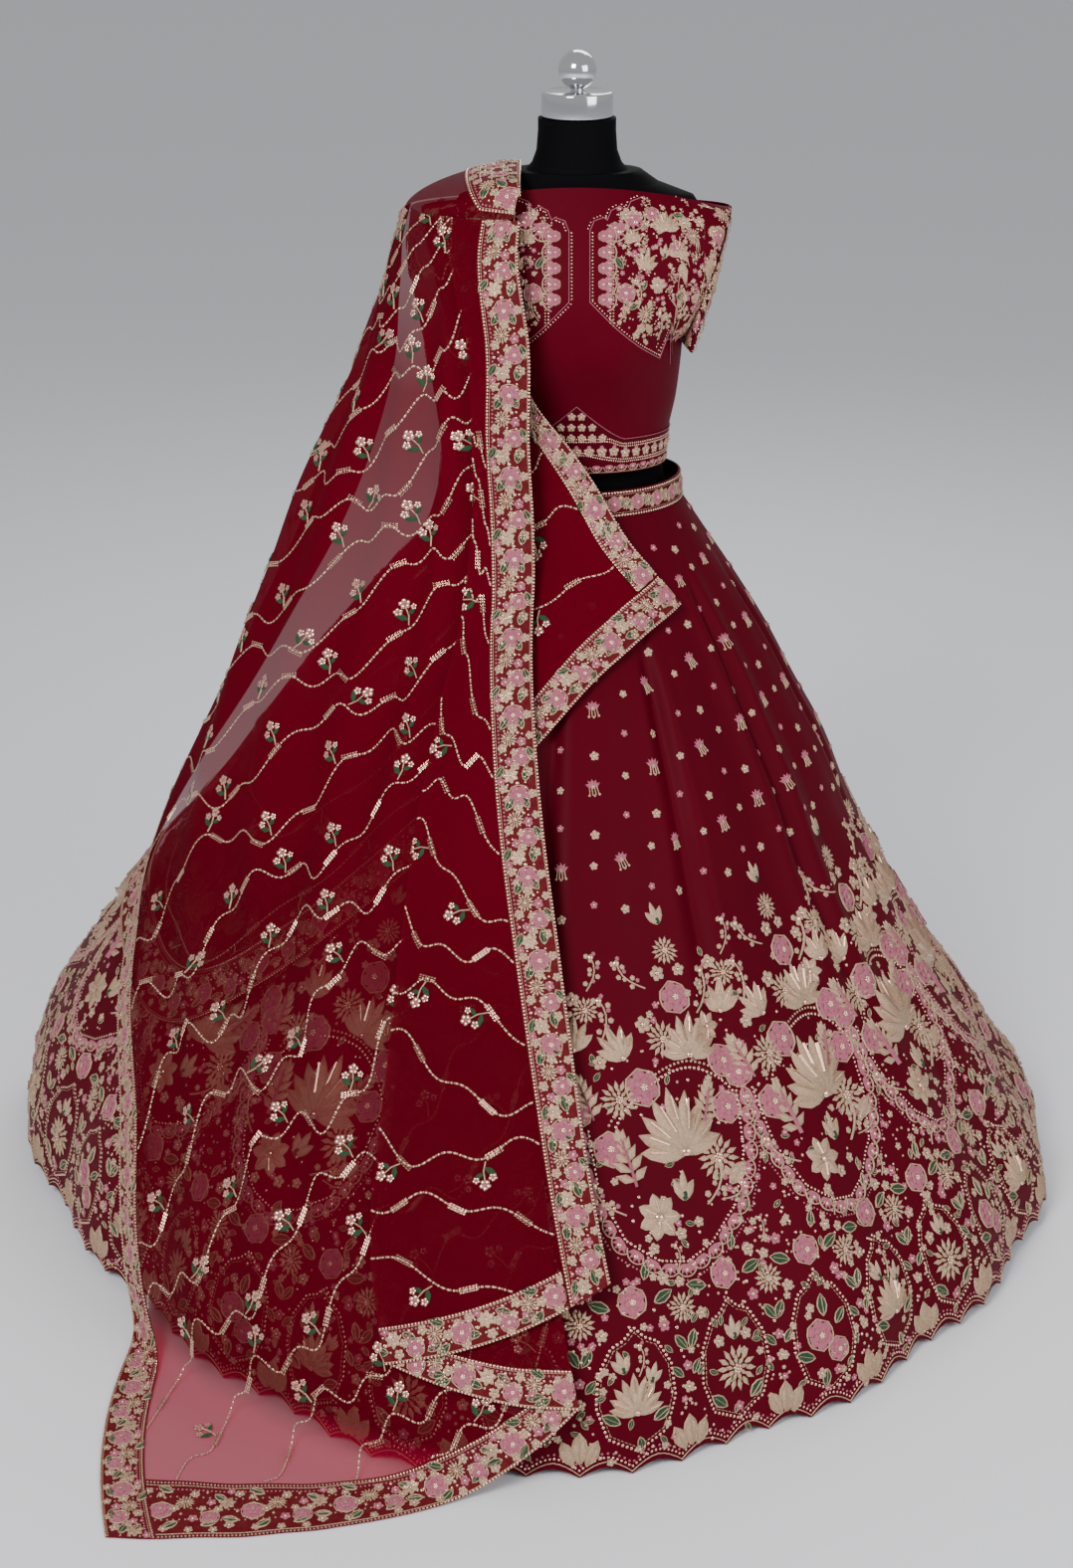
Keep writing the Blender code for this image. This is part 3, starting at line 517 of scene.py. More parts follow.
def posy():
    """Three sequin flowers and two leaves on a short stem, 1 unit high, sewn on the net."""
    parts = [("zari", ridge([(0.0, 0.0), (0.06, 0.35), (0.0, 0.70)], 0.05, 0.05)),
             ("leaf", petal(0.46, 0.22, 0.06, 0.02, 0.22, -62, False)),
             ("leaf", petal(0.36, 0.18, 0.06, 0.05, 0.42, 66, False))]
    for x, y, radius in ((0.0, 0.82, 0.20), (-0.26, 0.55, 0.15), (0.30, 0.66, 0.13)):
        parts += [("sequin", dome(0.42 * radius, 0.25 * radius, 5, x + du, y + dv))
                  for du, dv in (at(0.62 * radius, turn) for turn in around(5))]
        parts += [("silk", dome(0.36 * radius, 0.45 * radius, 5, x, y))]
    return motif(*parts)


def butti():
    """Small pink flower over four gold tassels, 1 unit high, that is sewn here and there on the plain cloth."""
    parts = [("silk", petal(0.46, 0.26, 0.10, 0.0, 0.45, turn, False)) for turn in (-64, -32, 0, 32, 64)]
    parts += [("zari", ridge([(x, 0.46), (1.3 * x, 0.0)], 0.06, 0.06)) for x in (-0.2, -0.07, 0.07, 0.2)]
    parts += [("zari", mesh) for mesh in (dome(0.15, 0.14, 6, 0.0, 0.50), dome(0.08, 0.08, 5, -0.28, 0.02),
                                           dome(0.08, 0.08, 5, 0.28, 0.02), dome(0.08, 0.08, 5, 0.0, -0.02))]
    return motif(*parts)


def shell():
    """Fan of pink silk with a corded edge and a sequin, as in a scalloped edging; it points down."""
    parts = [("silk", petal(0.95, 0.46, 0.10, turn=turn, fine=False)) for turn in (118, 149, 180, 211, 242)]
    rim = [at(1.0, turn) for turn in np.linspace(100, 260, 9)]
    parts += [("zari", ridge(rim, 0.13, 0.14))]
    return motif(*parts, ("sequin", dome(0.20, 0.16, 6, 0.0, -0.42, 0.06)))


BEAD = motif(("sequin", dome(1.0, 0.9, 5)))
KNOT = motif(("zari", dome(1.0, 0.8, 5)))
PINK_KNOT = motif(("silk", dome(1.0, 0.8, 5)))
BAR = motif(("sequin", ridge([(-1.0, 0.0), (1.0, 0.0)], 0.62, 0.42)))
CORD = motif(("zari", ridge([(-1.0, 0.0), (1.0, 0.0)], 0.50, 0.45)))
PINK_CORD = motif(("silk", ridge([(-1.0, 0.0), (1.0, 0.0)], 0.50, 0.45)))
ROSE, BLOSSOM, PINK_BLOSSOM = rose(), blossom(), blossom("silk")
LOTUS, HALF_LOTUS, SUNBURST, LEAF, GOLD_LEAF = lotus(), lotus(5, 50.0), sunburst(), leaf(), leaf("zari")
BIG_LEAF, LILY, BUD, SPRAY, LEFT_SPRAY = big_leaf(), lily(), bud(), spray(), spray(-0.35)
BUTTI, SHELL, POSY = butti(), shell(), posy()
CUT_BEADS = motif(*(("sequin", ridge([(x - 0.11, y - 0.05), (x + 0.11, y + 0.05)], 0.13, 0.13))
                    for x in np.linspace(-0.9, 0.9, 6) for y in (-0.24, 0.0, 0.24)))


class Sewing:
    """Motifs laid on one surface, gathered into one mesh for each thread."""

    def __init__(self, surface, step, limits, lift=SEWN_LIFT, centre=None):
        self.surface, self.step, self.limits, self.lift, self.centre = surface, step, limits, lift, centre
        self.work = {}
        middle = np.meshgrid(*(np.linspace(*limits[k:k + 2], 9)[1:-1] for k in (0, 2)))
        points, across, up = self.slopes(*(values.ravel() for values in middle))
        normals = np.cross(across, up)
        self.side = 1.0 if np.sum(normals * (points - self.axis(points))) > 0 else -1.0

    def axis(self, points):
        """Middle that the surface faces away from: the body's, or a tube's own."""
        return np.array((0.0, 0.0, points[:, 2].mean() - BELOW_CENTRE)) if self.centre is None else self.centre

    def inside(self, u, v):
        return np.clip(u, self.limits[0], self.limits[1]), np.clip(v, self.limits[2], self.limits[3])

    def slopes(self, u, v):
        """Points, and the change of the point for each unit of u and of v."""
        u, v = np.broadcast_arrays(np.asarray(u, dtype=float), np.asarray(v, dtype=float))
        change = []
        for du, dv in ((self.step[0], 0.0), (0.0, self.step[1])):
            (u1, v1), (u0, v0) = self.inside(u + du, v + dv), self.inside(u - du, v - dv)
            change.append((self.surface(u1, v1) - self.surface(u0, v0))
                          / ((u1 - u0) + (v1 - v0))[..., None])
        return self.surface(u, v), change[0], change[1]

    def frames(self, u, v):
        """Flat x and y directions, outward normal, and the change of the point with u and with v."""
        _, across, up = self.slopes(u, v)
        normal = np.cross(across, up) * self.side
        normal /= np.linalg.norm(normal, axis=-1, keepdims=True)
        x = across / np.linalg.norm(across, axis=-1, keepdims=True) * self.side
        y = np.cross(normal, x)
        return x, y, normal, across, up

    def put(self, what, u, v, turn=0.0, size=1.0, tall=1.0, mirror=1.0):
        """Sew a motif at places u, v, turned clockwise by an angle and at a size in metres."""
        u, v, turn, size, mirror = (np.atleast_1d(values).astype(float) for values in np.broadcast_arrays(
            u, v, turn, size, mirror))
        u, v = self.inside(u, v)
        x_axis, y_axis, normal, across, up = self.frames(u, v)
        xx, xy = np.sum(across * x_axis, -1), np.sum(up * x_axis, -1)
        yx, yy = np.sum(across * y_axis, -1), np.sum(up * y_axis, -1)
        scale = xx * yy - xy * yx
        cos, sin = np.cos(np.radians(turn)), np.sin(np.radians(turn))
        for thread, (shape, faces) in what.items():
            x = shape[:, 0] * (size * mirror)[:, None]
            y = shape[:, 1] * size[:, None]
            flat_x = x * cos[:, None] + y * sin[:, None]
            flat_y = -x * sin[:, None] + y * cos[:, None]
            du = (flat_x * yy[:, None] - flat_y * xy[:, None]) / scale[:, None]
            dv = (flat_y * xx[:, None] - flat_x * yx[:, None]) / scale[:, None]
            place_u, place_v = self.inside(u[:, None] + du, v[:, None] + dv)
            height = self.lift + shape[:, 2] * (size * tall)[:, None]
            laid = self.surface(place_u, place_v) + normal[:, None, :] * height[..., None]
            winding = np.where((mirror > 0)[:, None, None], faces[None], faces[None, :, ::-1])
            offset = (np.arange(len(u)) * len(shape))[:, None, None]
            self.work.setdefault(thread, []).append((laid.reshape(-1, 3), (winding + offset).reshape(-1, 3)))

    def line(self, what, path, spacing, size, aside=0.0, turn=0.0, **more):
        """Sew a motif again and again along a path of (u, v) places, its x axis along the path."""
        path = np.asarray(path, dtype=float)
        fine = np.linspace(0.0, len(path) - 1.0, 40 * len(path))
        u, v = (np.interp(fine, np.arange(len(path)), path[:, k]) for k in range(2))
        points = self.surface(*self.inside(u, v))
        walked = length_along(points)
        count = max(int(round(walked[-1] / spacing)), 1)
        there = np.interp((np.arange(count) + 0.5) / count * walked[-1], walked, fine)
        here_u, here_v = (np.interp(there, fine, values) for values in (u, v))
        x_axis, y_axis, _, across, up = self.frames(here_u, here_v)
        nearby = np.minimum(there + 0.02, fine[-1])
        back = np.maximum(there - 0.02, 0.0)
        ahead = (self.surface(*self.inside(*(np.interp(nearby, fine, values) for values in (u, v))))
                 - self.surface(*self.inside(*(np.interp(back, fine, values) for values in (u, v)))))
        along_x, along_y = np.sum(ahead * x_axis, -1), np.sum(ahead * y_axis, -1)
        heading = np.degrees(np.arctan2(-along_y, along_x))
        if aside:
            away = np.stack((-along_y, along_x), -1) * (aside / np.hypot(along_x, along_y))[:, None]
            xx, xy = np.sum(across * x_axis, -1), np.sum(up * x_axis, -1)
            yx, yy = np.sum(across * y_axis, -1), np.sum(up * y_axis, -1)
            scale = xx * yy - xy * yx
            here_u = here_u + (away[:, 0] * yy - away[:, 1] * xy) / scale
            here_v = here_v + (away[:, 1] * xx - away[:, 0] * yx) / scale
        self.put(what, here_u, here_v, heading + turn, size, **more)

    def finish(self, name, slot):
        """Make the sewn meshes, one piece for each thread."""
        made = []
        for thread, laid in sorted(self.work.items()):
            points, faces = joined(*laid)
            mesh = bpy.data.meshes.new(name + "_" + thread)
            mesh.from_pydata(points, [], faces)
            mesh.shade_smooth()
            thing = bpy.data.objects.new(mesh.name, mesh)
            bpy.context.scene.collection.objects.link(thing)
            keep(thing, THREADS[thread], slot)
            made.append(thing)
        return made


# Blouse (choli): boat neck, short hanging sleeves and a hem band that rises to a point in front.
# Cut from crimson satin in a front, a back and two sleeves, with darts over the bust, and embroidered by hand.
# A quilted yoke panel on each side of the plain middle strip, and a band of zari along the hem.
UNDERARM_ROW = 4
TOP_ROW = 8
SIDE_SEAM = table(
    "row x z",
    (0, 0.123, 1.062),
    (1, 0.1270, 1.105),
    (2, 0.136, 1.150),
    (3, 0.141, 1.195),
    (4, 0.144, 1.235),
)
CHOLI_FRONT = table(
    "row depth height",
    (0, 0.104, 1.066),
    (1, 0.103, 1.108),
    (2, 0.110, 1.158),
    (3, 0.122, 1.212),
    (4, 0.127, 1.256),
    (5, 0.125, 1.298),
    (6, 0.112, 1.342),
    (7, 0.090, 1.388),
    (8, 0.066, 1.436),
)
CHOLI_BACK = table(
    "row depth height",
    (0, 0.104, 1.066),
    (1, 0.100, 1.106),
    (2, 0.104, 1.150),
    (3, 0.108, 1.196),
    (4, 0.110, 1.236),
    (5, 0.108, 1.276),
    (6, 0.106, 1.316),
    (7, 0.099, 1.358),
    (8, 0.086, 1.400),
)
ARMHOLE_CENTRE = (0.1735, 0.0, 1.3185)
ARMHOLE_RISE = (0.0295, 0.0, 0.0835)
ARMHOLE_DEPTH = 0.060
CUFF_CENTRE = (0.1500, 0.0, 1.220)
CUFF_RISE = (0.0060, 0.0, -0.0040)
CUFF_DEPTH = 0.058
SLEEVE_BULGE = 0.003
BUST = dict(x=0.062, z=1.232, width=0.050, height=0.055, out=0.012)
HEM_BAND_SIDE = 1.10
HEM_BAND_PEAK = 0.95
HEM_BAND_PEAK_WIDTH = 30.0
PEAK_SIDE = 22.0
SATIN = finish_of("crimson_satin", "#5A0016", 0.55, other="#4C0012", patch=6.0, grain=0.10,
                  grain_size=2600.0)
BAND_SATIN = finish_of("dark_crimson_satin", "#4C0012", 0.55)
CHOLI_MIDDLE = 0.0025
NEAR_SIDE = 0.965
SEWN_SIDE = 0.90
SETTLING_STEPS = 12


def choli_edge(row):
    """Side of a blouse panel at a row: the side seam, then the armhole."""
    turn = math.pi * (row - UNDERARM_ROW) / (TOP_ROW - UNDERARM_ROW)
    seam = row < UNDERARM_ROW
    x = np.where(seam, read(SIDE_SEAM, "row", "x", row), ARMHOLE_CENTRE[0] - ARMHOLE_RISE[0] * np.cos(turn))
    z = np.where(seam, read(SIDE_SEAM, "row", "z", row), ARMHOLE_CENTRE[2] - ARMHOLE_RISE[2] * np.cos(turn))
    return x, np.where(seam, 0.0, ARMHOLE_DEPTH * np.sin(turn)), z


def choli_panel(rows, facing):
    """Surface of the front (facing -1) or the back (facing 1) of the blouse over angles and rows."""
    def surface(angle, row):
        x, side_depth, z = choli_edge(row)
        turn = np.radians(angle)
        out = side_depth + (read(rows, "row", "depth", row) - side_depth) * np.cos(turn)
        place_x = x * np.sin(turn)
        height = mix(read(rows, "row", "height", row), z, np.sin(turn) ** 2)
        if facing < 0:
            away = np.hypot((np.abs(place_x) - BUST["x"]) / BUST["width"],
                            (height - BUST["z"]) / BUST["height"])
            out = out + BUST["out"] * np.exp(-away * away)
        return np.stack((place_x, facing * np.maximum(out, SEAM_GAP / 2.0), height), -1)
    return surface


def hem_band_top(angle, peak):
    return HEM_BAND_SIDE + peak * np.maximum(0.0, 1.0 - np.abs(angle) / HEM_BAND_PEAK_WIDTH) ** 1.3


def sleeve_surface(side):
    def surface(turn_angle, share):
        turn = np.radians(turn_angle)[..., None]
        share = share[..., None]
        ring = [np.array(centre) - np.array(rise) * np.cos(turn) - np.array((0.0, depth, 0.0)) * np.sin(turn)
                for centre, rise, depth in ((ARMHOLE_CENTRE, ARMHOLE_RISE, ARMHOLE_DEPTH),
                                            (CUFF_CENTRE, CUFF_RISE, CUFF_DEPTH))]
        swell = SLEEVE_BULGE * np.sin(math.pi * share)
        away = np.array((ARMHOLE_RISE[2], 0.0, -ARMHOLE_RISE[0]))
        points = mix(ring[0], ring[1], share) + (SEAM_GAP + CHOLI_WALL) * away / np.linalg.norm(away)
        points = points + swell * np.concatenate(
            (np.maximum(-np.cos(turn), 0.0), -np.sin(turn), np.zeros_like(turn)), -1)
        return points * np.array((side, 1.0, 1.0))
    return surface


def blouse_front(x, z):
    """Front of the blouse at a sideways place and a height."""
    row = np.interp(z, CHOLI_FRONT["height"], CHOLI_FRONT["row"])
    for _ in range(SETTLING_STEPS):
        edge_x, _, edge_z = choli_edge(row)
        turn = np.clip(x / edge_x, -NEAR_SIDE, NEAR_SIDE)
        middle = (z - edge_z * turn ** 2) / np.maximum(1.0 - turn ** 2, 0.05)
        row = mix(row, np.interp(middle, CHOLI_FRONT["height"], CHOLI_FRONT["row"]), 0.6)
    share = np.clip(x / choli_edge(row)[0], -NEAR_SIDE, NEAR_SIDE)
    return CHOLI_FRONT_SURFACE(np.degrees(np.arcsin(share)), row)


def front_side(z):
    """Greatest sideways place for sewing on the blouse's front at a height."""
    edge_x, _, edge_z = choli_edge(np.linspace(0.0, TOP_ROW, 80))
    return SEWN_SIDE * np.interp(z, edge_z, edge_x)


CHOLI_FRONT_SURFACE, CHOLI_BACK_SURFACE = choli_panel(CHOLI_FRONT, -1), choli_panel(CHOLI_BACK, 1)
half_turn = np.linspace(-90.0, 90.0, 73)
for name, surface, node, size in (("blouse_front", CHOLI_FRONT_SURFACE, "choli_front", (0.44, 0.40)),
                                  ("blouse_back", CHOLI_BACK_SURFACE, "choli_back", (0.40, 0.36))):
    panel = sheet(name, grid(surface, half_turn, np.linspace(0, TOP_ROW, 49)), CHOLI_WALL)
    keep(panel, SATIN, "satin_choli", node)
for side, word in ((1.0, "left"), (-1.0, "right")):
    sleeve = sheet("blouse_sleeve_" + word, grid(sleeve_surface(side), np.linspace(0, 360, 73),
                                                 np.linspace(0, 1, 21)), CHOLI_WALL, ring=True)
    keep(sleeve, SATIN, "satin_choli", "sleeve_" + word)
for word, surface, peak in (("front", CHOLI_FRONT_SURFACE, HEM_BAND_PEAK), ("back", CHOLI_BACK_SURFACE, 0.0)):
    name = "blouse_hem_band_" + word
    turns, shares = np.meshgrid(half_turn, np.linspace(0, 1, 13))
    strip = sheet(name, surface(turns, shares * hem_band_top(turns, peak)), 0.0007, 0.0010)
    keep(strip, BAND_SATIN, "zari_band", "choli_hem_band_" + word)
    band = Sewing(surface, (0.5, 0.02), (-89.5, 89.5, 0.02, TOP_ROW), 0.0013)
    reach = np.linspace(-89, 89, 61)
    top = hem_band_top(reach, peak)
    band.line(PINK_CORD, np.stack((reach, top - 0.02), -1), 0.003, 0.0017)
    for share in (0.80, 0.35):
        for shift in (-0.03, 0.05):
            row = np.minimum(top * share, 0.95 * share + 0.3) + shift
            band.line(BEAD, np.stack((reach, row), -1), 0.0032, 0.0012)
    middle_row = np.stack((reach, np.minimum(top * 0.58, 0.72)), -1)
    band.line(BLOSSOM, middle_row, 0.017, 0.0075)
    band.line(PINK_KNOT, middle_row, 0.017, 0.0030, aside=0.006)
    band.line(SHELL, np.stack((reach, np.full(61, 0.26)), -1), 0.018, 0.0085)
    band.line(CORD, np.stack((reach, np.full(61, 0.04)), -1), 0.003, 0.0016)
    for row in np.linspace(1.15, 1.75, 3) if peak else ():
        peak_side = PEAK_SIDE * (2.0 - row)
        band.line(BLOSSOM, [(-peak_side, row), (peak_side, row)], 0.014, 0.0060)
    band.finish(name, "zari_band")

# The yoke's right half, as seen from the front, in (x, z) from the middle; the left half mirrors it.
YOKE = [(0.0135, 1.385), (0.019, 1.397), (0.031, 1.401), (0.036, 1.398), (0.041, 1.409), (0.052, 1.414),
        (0.061, 1.408), (0.066, 1.419), (0.078, 1.423)]
YOKE_LOW = [(0.0135, 1.385), (0.0135, 1.300), (0.048, 1.266), (0.080, 1.238), (0.106, 1.218), (0.116, 1.244),
            (0.124, 1.272), (0.140, 1.290)]
yoke = Sewing(blouse_front, (0.0008, 0.0008), (-0.165, 0.165, 1.07, 1.43), 0.0006)
for side in (-1.0, 1.0):
    def mirrored(points):
        return [(CHOLI_MIDDLE + side * min(x, front_side(z)), z) for x, z in points]

    for outline in (YOKE, YOKE_LOW):
        yoke.line(PINK_CORD, mirrored(outline), 0.0032, 0.0021)
        yoke.line(BEAD, mirrored(outline), 0.0045, 0.0011, aside=0.0035)
    for z in np.linspace(1.303, 1.379, 5):
        yoke.put(SHELL, CHOLI_MIDDLE + side * 0.033, z, -90.0 * side, 0.0150)
        yoke.put(ROSE, CHOLI_MIDDLE + side * 0.031, z, 0.0, 0.0070)
    for x, z, turn in ((0.046, 1.388, -50.0), (0.068, 1.400, -35.0)):
        yoke.put(SHELL, CHOLI_MIDDLE + side * x, z, side * turn, 0.0170)
        yoke.put(ROSE, CHOLI_MIDDLE + side * x, z, 0.0, 0.0080)
    yoke.line(BEAD, mirrored([(0.040, 1.272), (0.040, 1.386)]), 0.0040, 0.0013)
    yoke.line(KNOT, mirrored([(0.044, 1.268), (0.044, 1.386)]), 0.0040, 0.0012)
    for what, x, z, size, turn in (
            (LOTUS, 0.112, 1.384, 0.026, 4), (HALF_LOTUS, 0.084, 1.338, 0.028, 16),
            (LOTUS, 0.07, 1.372, 0.018, -14), (ROSE, 0.06, 1.31, 0.0125, 0),
            (BLOSSOM, 0.06, 1.404, 0.0085, 0), (LILY, 0.102, 1.318, 0.012, 0),
            (SUNBURST, 0.086, 1.282, 0.013, 0), (LEAF, 0.056, 1.34, 0.018, -30),
            (LEAF, 0.078, 1.312, 0.016, 40), (BUD, 0.11, 1.352, 0.018, 10), (SPRAY, 0.052, 1.276, 0.028, 8),
            (SPRAY, 0.102, 1.244, 0.036, -6), (SPRAY, 0.118, 1.3, 0.03, 4), (ROSE, 0.126, 1.362, 0.01, 0),
            (BLOSSOM, 0.112, 1.276, 0.007, 0), (GOLD_LEAF, 0.094, 1.256, 0.018, -40),
            (BLOSSOM, 0.074, 1.256, 0.0065, 0), (SPRAY, 0.09, 1.348, 0.026, -40),
            (SUNBURST, 0.136, 1.33, 0.0095, 0), (LILY, 0.136, 1.392, 0.0105, 0),
            (LEAF, 0.128, 1.316, 0.015, -60)):
        yoke.put(what, *mirrored([(x, z)])[0], side * turn, size, 0.9, side)
    for what, x, z, size, turn in (
            (LOTUS, 0.128, 1.352, 0.022, 10), (ROSE, 0.146, 1.316, 0.011, 0),
            (SUNBURST, 0.148, 1.376, 0.01, 0), (SPRAY, 0.15, 1.334, 0.03, 12),
            (LEAF, 0.138, 1.3, 0.018, -20), (ROSE, 0.094, 1.404, 0.009, 0),
            (SPRAY, 0.076, 1.29, 0.034, -12), (LEAF, 0.064, 1.29, 0.016, 60),
            (BLOSSOM, 0.156, 1.392, 0.008, 0), (LEAF, 0.12, 1.402, 0.015, 100),
            (GOLD_LEAF, 0.128, 1.334, 0.018, 30), (LILY, 0.08, 1.264, 0.008, 0)):
        yoke.put(what, *mirrored([(x, z)])[0], side * turn, size, 0.9, side)
    x, z = chance.uniform(0.048, 0.160, 420), chance.uniform(1.222, 1.415, 420)
    in_yoke = (z > 1.306 - 0.86 * (x - 0.0135)) & (z > 1.24 + 1.55 * (x - 0.116)) & (x < front_side(z))
    for k, (kind, size) in enumerate(((KNOT, 0.0014), (BLOSSOM, 0.0036), (BEAD, 0.0013),
                                      (PINK_BLOSSOM, 0.0036), (BEAD, 0.0013), (SPRAY, 0.012))):
        here = in_yoke & (np.arange(420) % 6 == k)
        yoke.put(kind, CHOLI_MIDDLE + side * x[here], z[here], chance.uniform(-50, 50, here.sum()), size)
yoke.finish("blouse_yoke", "zari_band")

# Towards the armholes the same flowers go on, in turns round the body and rows up it
shoulders = Sewing(CHOLI_FRONT_SURFACE, (0.5, 0.02), (-88.5, 88.5, 3.6, TOP_ROW - 0.05), 0.0006)
for side in (-1.0, 1.0):
    for what, turn, row, size, lean in (
            (ROSE, 74, 6.9, 0.0115, 0), (LOTUS, 78, 6.1, 0.022, 20), (SUNBURST, 70, 7.5, 0.01, 0),
            (LEAF, 82, 6.8, 0.017, -30), (SPRAY, 68, 6.3, 0.028, 10), (ROSE, 80, 5.4, 0.0105, 0),
            (LILY, 72, 5.6, 0.01, 0), (LEAF, 74, 5.0, 0.016, 50), (SPRAY, 84, 7.2, 0.024, -20),
            (SUNBURST, 79, 4.7, 0.009, 0), (BLOSSOM, 66, 7.0, 0.008, 0), (BLOSSOM, 84, 6.0, 0.0075, 0)):
        shoulders.put(what, side * turn, row, side * lean, size, 0.9, side)
    turns, rows = chance.uniform(62, 86, 150), chance.uniform(4.4, 7.7, 150)
    for k, (kind, size) in enumerate(((KNOT, 0.0014), (BLOSSOM, 0.0038), (BEAD, 0.0013),
                                      (PINK_BLOSSOM, 0.0036))):
        shoulders.put(kind, side * turns[k::4], rows[k::4], 0.0, size)
shoulders.finish("blouse_shoulders", "zari_band")

for side, word in ((1.0, "left"), (-1.0, "right")):
    middle = mix(np.array(ARMHOLE_CENTRE), np.array(CUFF_CENTRE), 0.5) * (side, 1.0, 1.0)
    cuffs = Sewing(sleeve_surface(side), (1.0, 0.01), (0.0, 360.0, 0.02, 0.985), CHOLI_WALL + 0.0006, middle)
    for share, what, spacing, size in ((0.97, CORD, 0.0032, 0.0017), (0.90, BEAD, 0.0040, 0.0014),
                                       (0.80, BLOSSOM, 0.0150, 0.0065), (0.68, BEAD, 0.0045, 0.0013),
                                       (0.54, ROSE, 0.0280, 0.0095), (0.38, BLOSSOM, 0.0140, 0.0055),
                                       (0.22, SUNBURST, 0.0260, 0.0090), (0.09, BLOSSOM, 0.0130, 0.0050),
                                       (0.46, LEAF, 0.0200, 0.0120), (0.30, BEAD, 0.0050, 0.0013),
                                       (0.62, PINK_BLOSSOM, 0.0120, 0.0042), (0.16, BEAD, 0.0045, 0.0013)):
        cuffs.line(what, np.stack((np.linspace(4, 356, 41), np.full(41, share)), -1), spacing, size)
    cuffs.finish("blouse_sleeve_" + word, "zari_band")


# Skirt (lehenga): a wide flare of crimson satin with soft folds and a pointed scalloped hem, under a waistband.
# Cut in panels, joined at the sides, and embroidered first: small flowers scattered below the waist, then
# garden flowers over scalloped bowls, and beaded ovals with bouquets along the hem.
WAIST_TOP = 1.047
WAIST_SEAM = 1.010
WAIST = dict(side=0.148, front=0.130, back=0.106)
WAISTBAND_TOP_IN = 0.004
SCALLOPS = 80
HEM_HEIGHT = 0.0012
HEM_REACH = table(
    "angle reach",
    (-180, 0.610),
    (-140, 0.700),
    (-98, 0.857),
    (-75, 0.794),
    (-55, 0.762),
    (-30, 0.804),
    (-6, 0.856),
    (14, 0.804),
    (36, 0.750),
    (64, 0.724),
    (90, 0.716),
    (135, 0.665),
    (180, 0.610),
)
FLARE = table(
    "height right left",
    (1.010, 0.000, 0.000),
    (0.975, 0.040, 0.040),
    (0.903, 0.126, 0.135),
    (0.830, 0.208, 0.225),
    (0.741, 0.293, 0.325),
    (0.665, 0.368, 0.405),
    (0.573, 0.435, 0.500),
    (0.479, 0.520, 0.612),
    (0.398, 0.600, 0.708),
    (0.325, 0.680, 0.796),
    (0.252, 0.773, 0.872),
    (0.167, 0.866, 0.945),
    (0.082, 0.960, 0.984),
    (0.000, 1.000, 1.000),
)
HEM_LIFT = dict(side=0.018, back=0.012)
PLAIN_STEP = 0.085
FOLD_MAX = 0.024
FOLDS = table(
    "angle depth width",
    (-172, 0.020, 10.0),
    (-149, 0.024, 11.0),
    (-126, 0.021, 10.0),
    (-104, 0.023, 10.0),
    (-82, 0.020, 9.0),
    (-61, 0.024, 9.5),
    (-40, 0.019, 9.0),
    (-17, 0.023, 10.0),
    (6, 0.020, 9.0),
    (28, 0.024, 9.0),
    (50, 0.021, 9.5),
    (71, 0.024, 9.0),
    (92, 0.019, 9.0),
    (114, 0.023, 10.0),
    (137, 0.021, 10.0),
    (161, 0.024, 10.5),
)
CREASES = table(
    "angle top low depth width",
    (-166, 0.93, 0.42, 0.010, 2.0),
    (-137, 0.96, 0.38, 0.012, 2.2),
    (-108, 0.94, 0.42, 0.010, 2.0),
    (-79, 0.95, 0.40, 0.011, 2.1),
    (-51, 0.93, 0.42, 0.010, 2.0),
    (-6, 0.94, 0.46, 0.009, 2.0),
    (21, 0.90, 0.40, 0.012, 1.9),
    (50, 0.96, 0.40, 0.013, 2.1),
    (79, 0.94, 0.42, 0.010, 2.0),
    (108, 0.95, 0.40, 0.011, 2.1),
    (137, 0.93, 0.42, 0.012, 2.2),
    (166, 0.94, 0.40, 0.010, 2.0),
)
HEM_POINT = 0.012
SKIRT_SATIN = finish_of("crimson_skirt_satin", "#580015", 0.52, other="#4A0011", patch=5.0, grain=0.10,
                        grain_size=2600.0)


def flare(angle, height):
    lean = 0.5 - 0.5 * np.sin(np.radians(angle))
    return mix(read(FLARE, "height", "right", height), read(FLARE, "height", "left", height), lean)


def away_from(angles, angle):
    """Signed angles from each of some angles, in a new first axis."""
    return (angle[None] - angles.reshape(-1, *([1] * angle.ndim)) + 180.0) % 360.0 - 180.0


def fold_height(angle):
    shape = (-1,) + (1,) * angle.ndim
    away = away_from(FOLDS["angle"], angle) / FOLDS["width"].reshape(shape)
    return np.max(FOLDS["depth"].reshape(shape) * np.exp(-away ** 2), axis=0)


def skirt_reach(angle, height, fold):
    turn = (angle + 180.0) % 360.0 - 180.0
    waist = ring_radius(turn, WAIST["front"], WAIST["side"], WAIST["back"])
    spread = np.clip(flare(turn, height), 0.0, 1.0)
    return mix(waist, read(HEM_REACH, "angle", "reach", turn) - FOLD_MAX, spread) + fold * spread ** 0.8


def hem_lift(angle):
    turn = np.radians(angle)
    return HEM_LIFT["side"] * np.sin(turn) ** 4 + HEM_LIFT["back"] * np.maximum(-np.cos(turn), 0.0) ** 2


